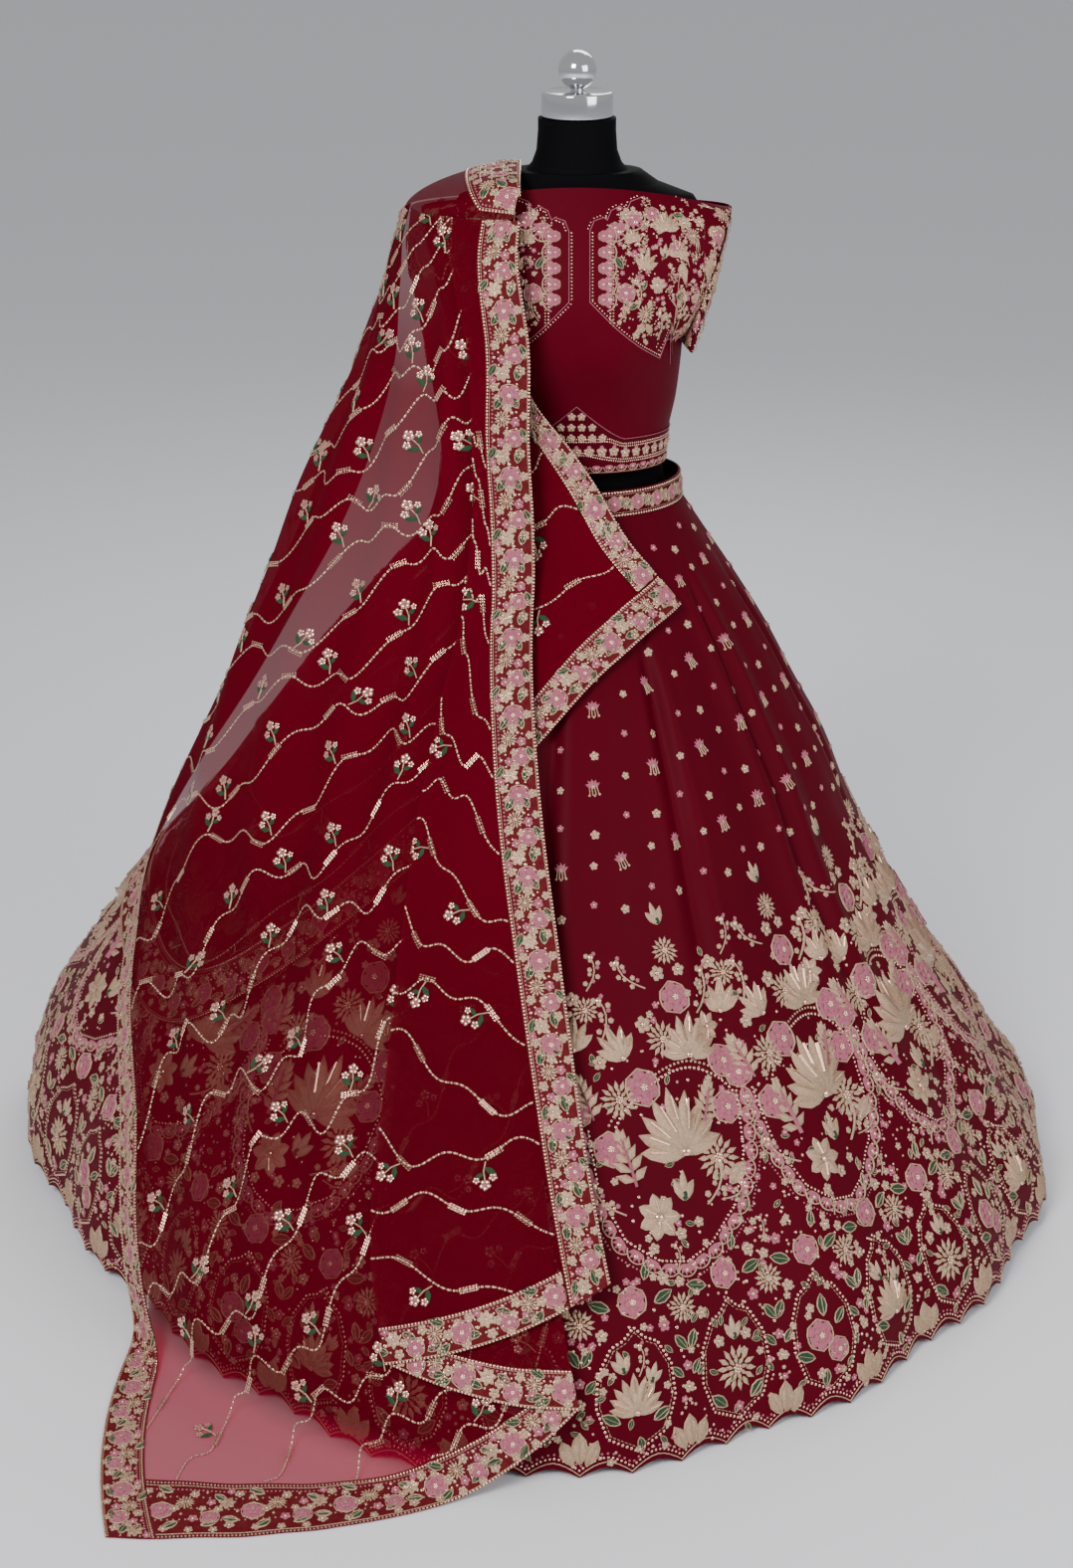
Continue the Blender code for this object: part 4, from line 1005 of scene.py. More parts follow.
def skirt(angle, height):
    """Outside of the skirt, with its soft creases pressed in."""
    shape = (-1,) + (1,) * angle.ndim
    columns = {key: values.reshape(shape) for key, values in CREASES.items()}
    away = away_from(CREASES["angle"], angle) / columns["width"]
    long = ease(0.0, 0.10, columns["top"] + 0.02 - height) * ease(0.0, 0.22, height - columns["low"] + 0.12)
    pressed = np.exp(-away ** 2) - 0.35 * np.exp(-(np.abs(away) - 2.2) ** 2)
    crease = np.sum(columns["depth"] * long * pressed, axis=0)
    fall = 1.0 - height / WAIST_SEAM
    reach = skirt_reach(angle, height, fold_height(angle)) - crease * np.clip(5.0 * fall, 0.0, 1.0)
    return polar(angle, reach, height + hem_lift(angle) * fall ** 3)


def hem_edge(angle):
    """Height of the pointed scallops of the hem at an angle."""
    share = np.abs((angle * SCALLOPS / 360.0) % 1.0 - 0.5) * 2.0
    return HEM_HEIGHT + HEM_POINT * (1.0 - share ** 1.7)


# Height of each length up the skirt from its hem, for every fifth degree
SLANT_STEP = 0.005
slant_angles = np.arange(-180.0, 181.0, 5.0)
slant_heights = np.linspace(0.0, WAIST_SEAM, 400)
slant_lengths = np.arange(0.0, 1.30, SLANT_STEP)
slant_table = []
for angle in slant_angles:
    fallen = length_along(skirt(np.full(400, angle), slant_heights))
    slant_table.append(np.interp(slant_lengths, fallen, slant_heights))
slant_table = np.array(slant_table)


def skirt_height(angle, length):
    """Height on the skirt at an angle and a length up from the hem."""
    a = np.clip((angle + 180.0) / 5.0, 0.0, len(slant_angles) - 1.001)
    b = np.clip(length / SLANT_STEP, 0.0, len(slant_lengths) - 1.001)
    i, j = a.astype(int), b.astype(int)
    low = mix(slant_table[i, j], slant_table[i, j + 1], b - j)
    return mix(low, mix(slant_table[i + 1, j], slant_table[i + 1, j + 1], b - j), a - i)


def on_skirt(angle, length):
    turn = (angle + 180.0) % 360.0 - 180.0
    return skirt(angle, skirt_height(turn, length))


def skirt_panel(angle, share):
    """Skirt over shares of its way from the scalloped hem to the waist."""
    low = hem_edge(angle)
    return skirt(angle, mix(low, WAIST_SEAM, share ** 0.9))


for name, middle, node in (("skirt_front", 0.0, "skirt_front"), ("skirt_back", 180.0, "skirt_back")):
    turns = middle + np.linspace(-90.0, 90.0, 241)
    turns[0] += 0.02
    turns[-1] -= 0.02
    panel = sheet(name + "_satin", grid(skirt_panel, turns, np.linspace(0.0, 1.0, 61)), SKIRT_WALL)
    keep(panel, SKIRT_SATIN, "satin_skirt", node)

# One repeat of the hem is an oval with its bouquet; one above it is a bowl under a group of flowers.
OVALS = 36
BOWLS = 16
OVAL_STEP, BOWL_STEP = 360.0 / OVALS, 360.0 / BOWLS
OVAL_SHAPE = [(0.0, 0.030), (0.26, 0.050), (0.36, 0.090), (0.34, 0.130), (0.22, 0.160),
              (0.10, 0.168), (0.0, 0.182)]
BOWL_SHAPE = [(-0.47, 0.430), (-0.42, 0.350), (-0.30, 0.285), (-0.14, 0.250), (0.0, 0.238)]


def both_sides(shape):
    """An outline's half and its mirror, as one path from side to side."""
    shape = np.array(shape)
    far_side = shape[::-1] * np.array((-1.0, 1.0))
    return np.vstack((shape, far_side[1:] if shape[-1][0] == 0.0 else far_side))


oval_path = both_sides([(-x, y) for x, y in OVAL_SHAPE])
bowl_path = both_sides(BOWL_SHAPE)
BOUQUETS = (
    ((LOTUS, 0.0, 0.078, 0.05, 0), (BUD, -0.1, 0.128, 0.03, -14), (BUD, 0.14, 0.112, 0.026, 24),
     (LEAF, -0.15, 0.068, 0.026, -62), (LEAF, 0.15, 0.066, 0.026, 62), (LEAF, 0.02, 0.048, 0.02, 170),
     (SPRAY, 0.03, 0.122, 0.036, 0)),
    ((SUNBURST, 0.0, 0.094, 0.03, 0), (LEAF, -0.13, 0.052, 0.028, -46), (LEAF, 0.13, 0.052, 0.028, 46),
     (BUD, 0.02, 0.13, 0.03, 6), (BLOSSOM, -0.15, 0.134, 0.0085, 0), (BLOSSOM, 0.15, 0.132, 0.0085, 0),
     (PINK_BLOSSOM, 0.0, 0.046, 0.008, 0)),
    ((ROSE, -0.06, 0.104, 0.02, 0), (ROSE, 0.12, 0.08, 0.016, 0), (LEAF, -0.16, 0.078, 0.028, -70),
     (LEAF, 0.02, 0.126, 0.028, 8), (LEAF, 0.14, 0.112, 0.024, 50), (LEAF, -0.04, 0.06, 0.024, 190),
     (BLOSSOM, -0.1, 0.056, 0.008, 0), (PINK_BLOSSOM, 0.09, 0.054, 0.0075, 0),
     (BLOSSOM, -0.11, 0.14, 0.007, 0)),
)
HEM_FAN = ((GOLD_LEAF, 0.0, 0.02, 0.04, 0), (GOLD_LEAF, -0.06, 0.018, 0.034, -24),
           (GOLD_LEAF, 0.06, 0.018, 0.034, 24), (KNOT, 0.0, 0.078, 0.003, 0),
           (KNOT, -0.05, 0.07, 0.0024, 0), (KNOT, 0.05, 0.07, 0.0024, 0), (BLOSSOM, 0.0, 0.094, 0.008, 0),
           (PINK_BLOSSOM, 0.0, 0.12, 0.007, 0), (LEAF, 0.05, 0.108, 0.02, 40),
           (LEAF, -0.05, 0.108, 0.02, -40), (BEAD, 0.1, 0.034, 0.002, 0), (BEAD, -0.1, 0.034, 0.002, 0))
ABOVE_OVALS = ((SUNBURST, 0.5, 0.19, 0.02, 0), (ROSE, 0.0, 0.212, 0.019, 0),
               (LEAF, -0.22, 0.206, 0.028, -70), (LEAF, 0.22, 0.206, 0.028, 70),
               (PINK_BLOSSOM, 0.3, 0.176, 0.0085, 0), (BLOSSOM, -0.3, 0.176, 0.0085, 0),
               (LEAF, 0.4, 0.16, 0.024, 150), (LEAF, -0.4, 0.16, 0.024, 210),
               (BLOSSOM, 0.33, 0.232, 0.009, 0), (PINK_BLOSSOM, -0.33, 0.236, 0.008, 0),
               (LEAF, 0.13, 0.236, 0.022, 20), (BLOSSOM, 0.5, 0.222, 0.0075, 0),
               (SPRAY, 0.5, 0.236, 0.03, 0))
IN_BOWL = ((LOTUS, 0.06, 0.372, 0.086, 4), (LILY, -0.12, 0.306, 0.032, 0), (BUD, 0.02, 0.316, 0.038, 18),
           (BIG_LEAF, -0.22, 0.35, 0.072, -6), (SUNBURST, 0.25, 0.352, 0.03, 0),
           (SPRAY, 0.14, 0.3, 0.06, 30), (LEFT_SPRAY, -0.28, 0.318, 0.05, -20),
           (ROSE, -0.34, 0.402, 0.022, 0), (ROSE, 0.36, 0.412, 0.021, 0), (SPRAY, 0.22, 0.3, 0.042, 62),
           (BLOSSOM, -0.02, 0.278, 0.009, 0), (BLOSSOM, 0.08, 0.284, 0.0075, 0),
           (BIG_LEAF, 0.2, 0.4, 0.056, 28), (BLOSSOM, -0.16, 0.27, 0.008, 0),
           (GOLD_LEAF, 0.29, 0.316, 0.036, 50))
OVER_BOWL = ((ROSE, -0.14, 0.47, 0.024, 0), (LOTUS, 0.18, 0.488, 0.058, 12),
             (SUNBURST, -0.28, 0.462, 0.026, 0), (SUNBURST, 0.02, 0.52, 0.025, 0),
             (ROSE, 0.14, 0.566, 0.021, 0), (BLOSSOM, -0.1, 0.548, 0.012, 0),
             (HALF_LOTUS, -0.24, 0.512, 0.05, -16), (SPRAY, 0.28, 0.54, 0.056, 18),
             (ROSE, 0.4, 0.47, 0.022, 0), (LILY, 0.34, 0.52, 0.022, 0), (BLOSSOM, 0.04, 0.604, 0.011, 0),
             (SUNBURST, 0.12, 0.628, 0.019, 0), (LEFT_SPRAY, -0.06, 0.592, 0.046, -12),
             (BLOSSOM, 0.2, 0.6, 0.009, 0), (BUD, 0.1, 0.664, 0.03, 0), (BLOSSOM, -0.38, 0.512, 0.01, 0),
             (SPRAY, -0.36, 0.54, 0.05, -8), (BIG_LEAF, -0.42, 0.44, 0.06, -18),
             (HALF_LOTUS, 0.47, 0.53, 0.046, 6), (ROSE, 0.49, 0.45, 0.019, 0),
             (BLOSSOM, 0.46, 0.596, 0.01, 0), (SUNBURST, -0.46, 0.58, 0.018, 0),
             (SPRAY, -0.45, 0.604, 0.044, 4), (BLOSSOM, 0.34, 0.576, 0.009, 0))
FILLS = 6000
FILLERS = ((BLOSSOM, 0.0056), (KNOT, 0.0022), (PINK_BLOSSOM, 0.0052), (BEAD, 0.0021), (LEAF, 0.014),
           (BEAD, 0.0024), (BEAD, 0.0019), (KNOT, 0.0018))
PLAIN_ROWS = (0.700, 0.752, 0.804, 0.856, 0.908, 0.960, 1.012, 1.064, 1.112)


def repeat(sewing, group, step, first, last):
    """Sew a group of motifs in each repeat whose middle lies from first to last."""
    middles = np.arange(math.ceil(first / step), math.ceil(last / step)) * step
    for what, share, length, size, turn in group:
        sewing.put(what, middles + share * step, length, turn, size)


for name, first in (("skirt_front", -90.0), ("skirt_back", 90.0)):
    last = first + 180.0
    work = Sewing(on_skirt, (0.2, 0.002), (first + 0.2, last - 0.2, 0.002, 1.145))
    edge_turns = np.linspace(first, last, 40 * 8 + 1)
    edge = np.stack((edge_turns, hem_edge(edge_turns) * 1.35 + 0.003), -1)
    work.line(CORD, edge, 0.0045, 0.0027)
    work.line(BEAD, edge + (0.0, 0.006), 0.0058, 0.0017)
    work.line(PINK_KNOT, edge + (0.0, 0.0115), 0.0075, 0.0018)
    repeat(work, HEM_FAN, OVAL_STEP, first - OVAL_STEP / 2.0, last)
    for kind, bouquet in enumerate(BOUQUETS):
        middles = (np.arange(OVALS // 2) + 0.5) * OVAL_STEP + first
        middles = middles[kind::len(BOUQUETS)]
        for what, share, length, size, turn in bouquet:
            work.put(what, middles + share * OVAL_STEP, length, turn, size)
    for k in range(OVALS // 2):
        middle = first + (k + 0.5) * OVAL_STEP
        outline = oval_path * (OVAL_STEP, 1.0) + (middle, 0.0)
        work.line(BEAD, outline, 0.0062, 0.0021)
        work.line(CORD, outline, 0.0055, 0.0018, aside=-0.0045)
    repeat(work, [(what, share + 0.5, *rest) for what, share, *rest in ABOVE_OVALS], OVAL_STEP,
           first - OVAL_STEP / 2.0, last - OVAL_STEP / 2.0 - 0.1)
    for k in range(BOWLS // 2):
        middle = first + (k + 0.5) * BOWL_STEP
        outline = bowl_path * (BOWL_STEP, 1.0) + (middle, 0.0)
        work.line(SHELL, outline, 0.0225, 0.0150)
        work.line(BEAD, outline, 0.0060, 0.0019, aside=0.004)
        work.line(PINK_KNOT, outline, 0.0052, 0.0015, aside=-0.0195)
        for radius, bead, size in ((0.094, BEAD, 0.0022), (0.103, KNOT, 0.0020)):
            arch = [(middle + (0.06 + radius * math.sin(t) / 0.23) * BOWL_STEP,
                     0.392 + radius * math.cos(t) * 0.9) for t in np.linspace(-1.15, 1.15, 15)]
            work.line(bead, arch, 0.0062, size)
    repeat(work, [(what, share + 0.5, *rest) for what, share, *rest in IN_BOWL + OVER_BOWL], BOWL_STEP,
           first - BOWL_STEP / 2.0, last - BOWL_STEP / 2.0 - 0.1)
    number = np.arange(FILLS)
    angles, lengths = chance.uniform(first, last, FILLS), chance.uniform(0.016, 0.62, FILLS)
    bowl_share = np.abs((angles - first) / BOWL_STEP % 1.0 - 0.5)
    in_oval = (np.abs((angles - first) / OVAL_STEP % 1.0 - 0.5) < 0.30) & (lengths > 0.035) & (lengths < 0.165)
    in_bowl = lengths > np.interp(bowl_share, (0.0, 0.14, 0.30, 0.42, 0.47), (0.24, 0.25, 0.285, 0.35, 0.43))
    ground = (lengths < 0.45 + 0.16 * chance.uniform(size=FILLS)) & ~(in_oval & (number % 4 > 0))
    ground &= ~(in_bowl & (number % 3 > 0))
    for k, (kind, size) in enumerate(FILLERS):
        here = ground & (number % len(FILLERS) == k)
        work.put(kind, angles[here], lengths[here], chance.uniform(0, 360, here.sum()), size)
    for k, length in enumerate(PLAIN_ROWS):
        height = skirt_height(np.array(0.0), np.array(length))
        reaches = skirt_reach(np.array((first, first + 90.0)), np.full(2, height), 0.0)
        count = max(int(math.pi * np.mean(reaches) / PLAIN_STEP), 3)
        middles = first + (np.arange(count) + 0.25 + 0.5 * (k % 2)) * 180.0 / count
        if k % 2:
            work.put(BUTTI, middles, length, chance.uniform(-6, 6, count), 0.024 if length < 1.0 else 0.019)
            work.put(BLOSSOM, middles + 90.0 / count, length + 0.012, 0.0, 0.0056)
        else:
            work.put(BLOSSOM, middles, length, 0.0, 0.0066)
            work.put(PINK_BLOSSOM, middles + 90.0 / count, length + 0.014, 0.0, 0.0052)
    work.finish(name, "zari_band")

# Waistband: a stiff straight band of dark satin, 37 mm high, covered with flowers between two beaded edges.


def waistband(angle, height):
    rise = (height - WAIST_SEAM) / (WAIST_TOP - WAIST_SEAM)
    radius = ring_radius(angle, WAIST["front"], WAIST["side"], WAIST["back"])
    return polar(angle, radius - WAISTBAND_TOP_IN * rise, height)


band_heights = np.linspace(WAIST_SEAM + SEAM_GAP, WAIST_TOP, 9)
band = sheet("waistband", grid(waistband, np.linspace(0, 360, 181), band_heights), SKIRT_WALL, ring=True)
keep(band, BAND_SATIN, "zari_band", "skirt_waistband")
work = Sewing(waistband, (0.5, 0.002), (-180.0, 180.0, WAIST_SEAM + 0.001, WAIST_TOP))
turns = np.linspace(-180, 180, 91)
for height, what, spacing, size in ((1.0135, BEAD, 0.0042, 0.0017), (1.0170, CORD, 0.0040, 0.0015),
                                    (1.0440, BEAD, 0.0042, 0.0017), (1.0408, CORD, 0.0040, 0.0015),
                                    (1.0290, ROSE, 0.034, 0.0100)):
    work.line(what, np.stack((turns, np.full(91, height)), -1), spacing, size)
for aside, what, height, size, turn in ((0.5, SUNBURST, 1.029, 0.0095, 0), (0.25, LEAF, 1.024, 0.013, 30),
                                        (0.75, LEAF, 1.033, 0.013, 210), (0.28, BLOSSOM, 1.0365, 0.0038, 0),
                                        (0.72, BLOSSOM, 1.0215, 0.0038, 0)):
    shifts = length_along(waistband(turns, np.full(91, 1.029)))
    count = int(round(shifts[-1] / 0.034))
    work.put(what, np.interp((np.arange(count) + 0.5 + aside) / count * shifts[-1], shifts, turns),
             height, turn, size)
work.finish("waistband", "zari_band")


# Net dupatta: a long sheer scarf with beaded vines and a heavy embroidered border on its edges.
# It hangs from the form's right shoulder in a Z pleat to the floor, and its other end comes round from behind
# to the corner pinned at the waist. Each border is dense embroidery on a strip of dark net, sewn to the edge.
BAND_WIDTH = 0.055
BAND_CELLS = 2
BAND_SEAM_CELL = 0.03
SWEEP_CELLS = 24
UPPER_CELLS = 6
DOME_CELLS = 6
WRAP_CELLS = 20
WRAP_ROWS = 11
BACK_CELLS = 8
BACK_ROWS = 11
WRAP_CLEAR = 0.014
SWEEP_CLEAR = 0.023
FLOOR_ROUNDING = 0.020
SHOULDER_RIM = 1.4005
FLOOR_GAP = 0.0002
COVER_TOP = 1.6
RING_BLEND = 0.010
TENT = table(
    "height front left back",
    (1.400, 0.116, 0.226, 0.113),
    (1.358, 0.144, 0.241, 0.140),
    (1.300, 0.163, 0.256, 0.152),
    (1.250, 0.168, 0.274, 0.154),
    (1.185, 0.171, 0.294, 0.158),
    (1.100, 0.175, 0.333, 0.163),
    (1.032, 0.180, 0.366, 0.172),
    (0.918, 0.215, 0.412, 0.200),
    (0.800, 0.270, 0.465, 0.240),
    (0.681, 0.330, 0.514, 0.290),
    (0.541, 0.400, 0.578, 0.350),
    (0.447, 0.460, 0.619, 0.400),
    (0.300, 0.520, 0.660, 0.440),
    (0.000, 0.600, 0.700, 0.500),
)
UNDER = table(
    "height front left back",
    (1.400, 0.106, 0.219, 0.112),
    (1.350, 0.132, 0.224, 0.137),
    (1.300, 0.146, 0.219, 0.140),
    (1.250, 0.152, 0.210, 0.138),
    (1.150, 0.152, 0.192, 0.132),
    (1.050, 0.154, 0.184, 0.132),
    (0.990, 0.164, 0.196, 0.136),
    (0.900, 0.180, 0.230, 0.150),
    (0.000, 0.500, 0.500, 0.400),
)
DRAPE_LINES = table(
    "station edge_q edge_angle fold1_q fold1_angle fold2_q fold2_angle far_q far_angle",
    (0, 1.3997, -32.5, 1.3997, -62.0, 1.3997, -48.0, 1.3997, -97.0),
    (1, 1.270, -20.0, 1.270, -44.0, 1.270, -32.0, 1.220, -108.0),
    (2, 1.120, -18.5, 1.120, -39.0, 1.120, -26.0, 1.040, -110.0),
    (3, 0.960, -14.5, 0.960, -36.0, 0.960, -21.0, 0.840, -107.0),
    (4, 0.800, -9.0, 0.790, -31.5, 0.790, -16.0, 0.640, -101.0),
    (5, 0.640, -4.5, 0.610, -27.5, 0.610, -11.0, 0.445, -86.0),
    (6, 0.500, -1.5, 0.440, -23.5, 0.430, -5.5, 0.238, -60.0),
    (7, 0.360, 0.7, 0.265, -20.3, 0.250, -2.4, -0.020, -46.3),
    (8, 0.232, 2.8, 0.140, -16.5, 0.105, -0.1, -0.275, -30.8),
)
LAST_STATION = 8
END_BAND_STATION = 7.70
LAYER_STEP = 0.0036
LAYER_STEP_TOP = 0.0028
LAYER_LIFT = 0.006
UPPER_LIFT = 0.004
SWEEP_FOLDS = 6
SWEEP_FOLD_DEPTH = 0.012
DOME_EDGE_X = -0.073
DOME_RISE = 0.050
DOME_HALF_DEPTH = 0.112
DOME_ANGLES = (-37.0, -139.0)
DOME_SLOPE = 1.3
WRAP_END = table(
    "along q angle",
    (0.00, 0.908, 38.0),
    (0.12, 0.953, 31.0),
    (0.25, 1.000, 21.5),
    (0.38, 1.060, 10.0),
    (0.50, 1.115, -4.0),
    (0.62, 1.165, -19.0),
    (0.80, 1.275, -40.0),
    (1.00, 1.3995, -60.0),
)
WRAP_HEM = table(
    "along q angle",
    (0.00, 0.908, 38.0),
    (0.12, 0.874, 17.5),
    (0.21, 0.830, 2.2),
    (0.29, 0.765, -9.5),
    (0.38, 0.664, -23.5),
    (0.46, 0.552, -36.5),
    (0.54, 0.442, -48.5),
    (0.62, 0.355, -59.5),
    (0.75, 0.370, -80.0),
    (0.87, 0.430, -102.0),
    (1.00, 0.480, -124.0),
)
WRAP_SEAM_TOP = (1.3995, -118.0)
WRAP_END_BAND_SHARE = (0.044, 0.15)
WRAP_HEM_BAND_SHARE = (0.095, 0.050)
BACK_HEM_BAND_SHARE = 0.050
BACK_EDGE = table(
    "along q angle",
    (0.0, 0.440, -186.0),
    (0.2, 0.600, -176.0),
    (0.4, 0.790, -167.0),
    (0.6, 0.990, -158.0),
    (0.8, 1.200, -150.0),
    (1.0, 1.3995, -143.0),
)
# The second colour is a painted glow: a brighter pink given to the net near the floor, standing in for light
# that passes through the sheer net onto the floor
NET_COLOUR, NET_PAINTED_GLOW_COLOUR = "#5E0014", "#A81238"
NET = finish_of("crimson_net", NET_COLOUR, 0.85, alpha=0.76)
# Share of what lies behind that the net covers, at heights
NET_COVER = ((0.0, 0.66), (0.03, 0.66), (0.45, 0.64), (0.64, 0.88), (1.18, 0.93), (1.32, 0.74))
tree = NET.node_tree
parted = add_node(tree, "SeparateXYZ", {"Vector": add_node(tree, "TexCoord").outputs["Object"]})
raised = add_node(tree, "Math", {0: parted.outputs["Z"], 1: 1.0 / COVER_TOP}, operation="MULTIPLY")
cover = add_node(tree, "ValToRGB", {"Fac": raised.outputs[0]})
for k, (height, share) in enumerate(NET_COVER):
    stop = cover.color_ramp.elements[0] if k == 0 else cover.color_ramp.elements.new(height / COVER_TOP)
    stop.position = height / COVER_TOP
    stop.color = (share, share, share, 1.0)
cover.color_ramp.elements.remove(cover.color_ramp.elements[-1])
tree.links.new(cover.outputs["Color"], tree.nodes["Principled BSDF"].inputs["Alpha"])
# Painted light: below 15 mm the net takes the brighter pink glow colour, fading to its own crimson by 60 mm, for
# light coming through the net near the floor
painted_glow_fade = add_node(tree, "MapRange", {"Value": parted.outputs["Z"], "From Min": 0.015, "From Max": 0.060})
painted_glow_mix = add_node(tree, "Mix", {"Factor": painted_glow_fade.outputs["Result"]}, data_type="RGBA")
painted_glow_mix.inputs[6].default_value, painted_glow_mix.inputs[7].default_value = linear(NET_PAINTED_GLOW_COLOUR), linear(NET_COLOUR)
tree.links.new(painted_glow_mix.outputs[2], tree.nodes["Principled BSDF"].inputs["Base Color"])
BORDER_NET = finish_of("dark_border_net", "#560016", 0.65, other="#6A2626", patch=140.0, grain=0.6,
                       grain_size=700.0)


def place(angle, q, rings, skirt_clear, clear):
    """Point of the net at an angle and a length q, outside its rings and the skirt."""
    height = 0.5 * (q + np.hypot(q, FLOOR_ROUNDING))
    body = ring_radius(angle, *(read(rings, "height", column, height) for column in ("front", "left", "back")))
    before_lift = height - hem_lift(angle) * (1.0 - height / WAIST_SEAM) ** 3
    over_skirt = np.where(height < WAIST_SEAM, skirt_reach(angle, before_lift, FOLD_MAX) + skirt_clear, 0.0)
    radius = 0.5 * (body + over_skirt + np.hypot(body - over_skirt, RING_BLEND))
    return polar(angle, radius + clear + height - q, height + NET_WALL + FLOOR_GAP)


def line(name, station):
    return tuple(read(DRAPE_LINES, "station", name + key, station) for key in ("_q", "_angle"))


def between(start, end, share):
    return mix(start[0], end[0], share), mix(start[1], end[1], share)


def band_share(start, end, rings, skirt_clear):
    here = place(start[1], start[0], rings, skirt_clear, 0.0)
    there = place(end[1], end[0], rings, skirt_clear, 0.0)
    arc = np.radians(np.abs(end[1] - start[1])) * np.hypot(here[..., 0], here[..., 1])
    return np.minimum(BAND_WIDTH / np.maximum(arc, np.linalg.norm(there - here, axis=-1)), 0.8)


def over_band(cell, cells, share):
    return np.where(cell <= BAND_CELLS, share * cell / BAND_CELLS,
                    share + (1.0 - share) * (cell - BAND_CELLS) / (cells - BAND_CELLS))


def layer_step(station):
    return mix(LAYER_STEP_TOP, LAYER_STEP, ease(0.0, 1.0, station))


def sweep(cell, station):
    far, fold, first = line("far", station), line("fold2", station), line("fold1", station)
    share = over_band(cell, SWEEP_CELLS, band_share(far, fold, TENT, SWEEP_CLEAR))
    q, angle = between(far, fold, share)
    covered = (first[1] - fold[1]) / (far[1] - fold[1])
    free = ease(0.0, 0.12, 1.0 - share - covered)
    swell = 0.5 - 0.5 * np.cos(2.0 * math.pi * SWEEP_FOLDS * (1.0 - share))
    depth = SWEEP_FOLD_DEPTH * ease(0.0, 2.0, station) * (1.0 - 0.8 * ease(6.0, 7.5, station))
    return place(angle, q, TENT, SWEEP_CLEAR, depth * swell * free)


def fold_layer(share, station):
    q, angle = between(line("fold2", station), line("fold1", station), share)
    lift = LAYER_LIFT * ease(0.0, 0.35, share) * ease(0.0, 1.0, station)
    return place(angle, q, TENT, SWEEP_CLEAR, layer_step(station) + lift)


def upper(cell, station):
    edge, fold = line("edge", station), line("fold1", station)
    share = over_band(cell, UPPER_CELLS, band_share(edge, fold, TENT, SWEEP_CLEAR))
    q, angle = between(edge, fold, share)
    lift = ease(0.0, 1.0, station) * (LAYER_LIFT + UPPER_LIFT * np.sin(math.pi * share))
    return place(angle, q, TENT, SWEEP_CLEAR, 2.0 * layer_step(station) + lift)


def shoulder(angle, cell):
    rim = place(angle, np.full_like(angle, SHOULDER_RIM), TENT, SWEEP_CLEAR, 0.0)
    arch = DOME_RISE * (1.0 - (np.abs(rim[..., 1]) / DOME_HALF_DEPTH) ** 4) ** 0.25
    reach = DOME_EDGE_X - rim[..., 0]
    share = over_band(cell, DOME_CELLS, np.minimum(BAND_WIDTH / np.maximum(reach + arch * 0.3, BAND_WIDTH), 0.8))
    turn = share * math.pi / 2.0
    lifted = rim[..., 2] + arch * np.maximum(np.cos(turn), 0.0) ** DOME_SLOPE
    return np.stack((DOME_EDGE_X - reach * np.sin(turn), rim[..., 1], lifted), -1)


def table_end(rows, k):
    return rows["q"][k], rows["angle"][k]


def on_line(rows, at):
    return read(rows, "along", "q", at), read(rows, "along", "angle", at)


def wrap(cell, row):
    s = over_band(cell, WRAP_CELLS, mix(*WRAP_END_BAND_SHARE, row / WRAP_ROWS))
    v = over_band(row, WRAP_ROWS, mix(*WRAP_HEM_BAND_SHARE, cell / WRAP_CELLS))
    hem, end = on_line(WRAP_HEM, s), on_line(WRAP_END, v)
    top = between(table_end(WRAP_END, -1), WRAP_SEAM_TOP, s)
    seam = between(table_end(WRAP_HEM, -1), WRAP_SEAM_TOP, v)
    flat = between(between(table_end(WRAP_HEM, 0), table_end(WRAP_HEM, -1), s), top, v)
    q, angle = (mix(hem[k], top[k], v) + mix(end[k], seam[k], s) - flat[k] for k in range(2))
    return place(angle, q, UNDER, WRAP_CLEAR, 0.0)


def back(cell, row):
    v = over_band(row, BACK_ROWS, BACK_HEM_BAND_SHARE)
    edge = on_line(BACK_EDGE, v)
    seam = between(table_end(WRAP_HEM, -1), WRAP_SEAM_TOP, v)
    gap = np.degrees(SEAM_GAP / place(seam[1], seam[0], UNDER, WRAP_CLEAR, 0.0)[..., 1])
    seam = seam[0], seam[1] - np.abs(gap)
    q, angle = between(edge, seam, over_band(cell, BACK_CELLS, band_share(edge, seam, UNDER, WRAP_CLEAR)))
    return place(angle, q, UNDER, WRAP_CLEAR, 0.0)


def spread(cells, fine, more=()):
    """Fine even places from 0 to the last cell, with both sides of a border's edge among them."""
    return np.unique(np.concatenate((np.linspace(0.0, cells, fine), [BAND_CELLS], more)))


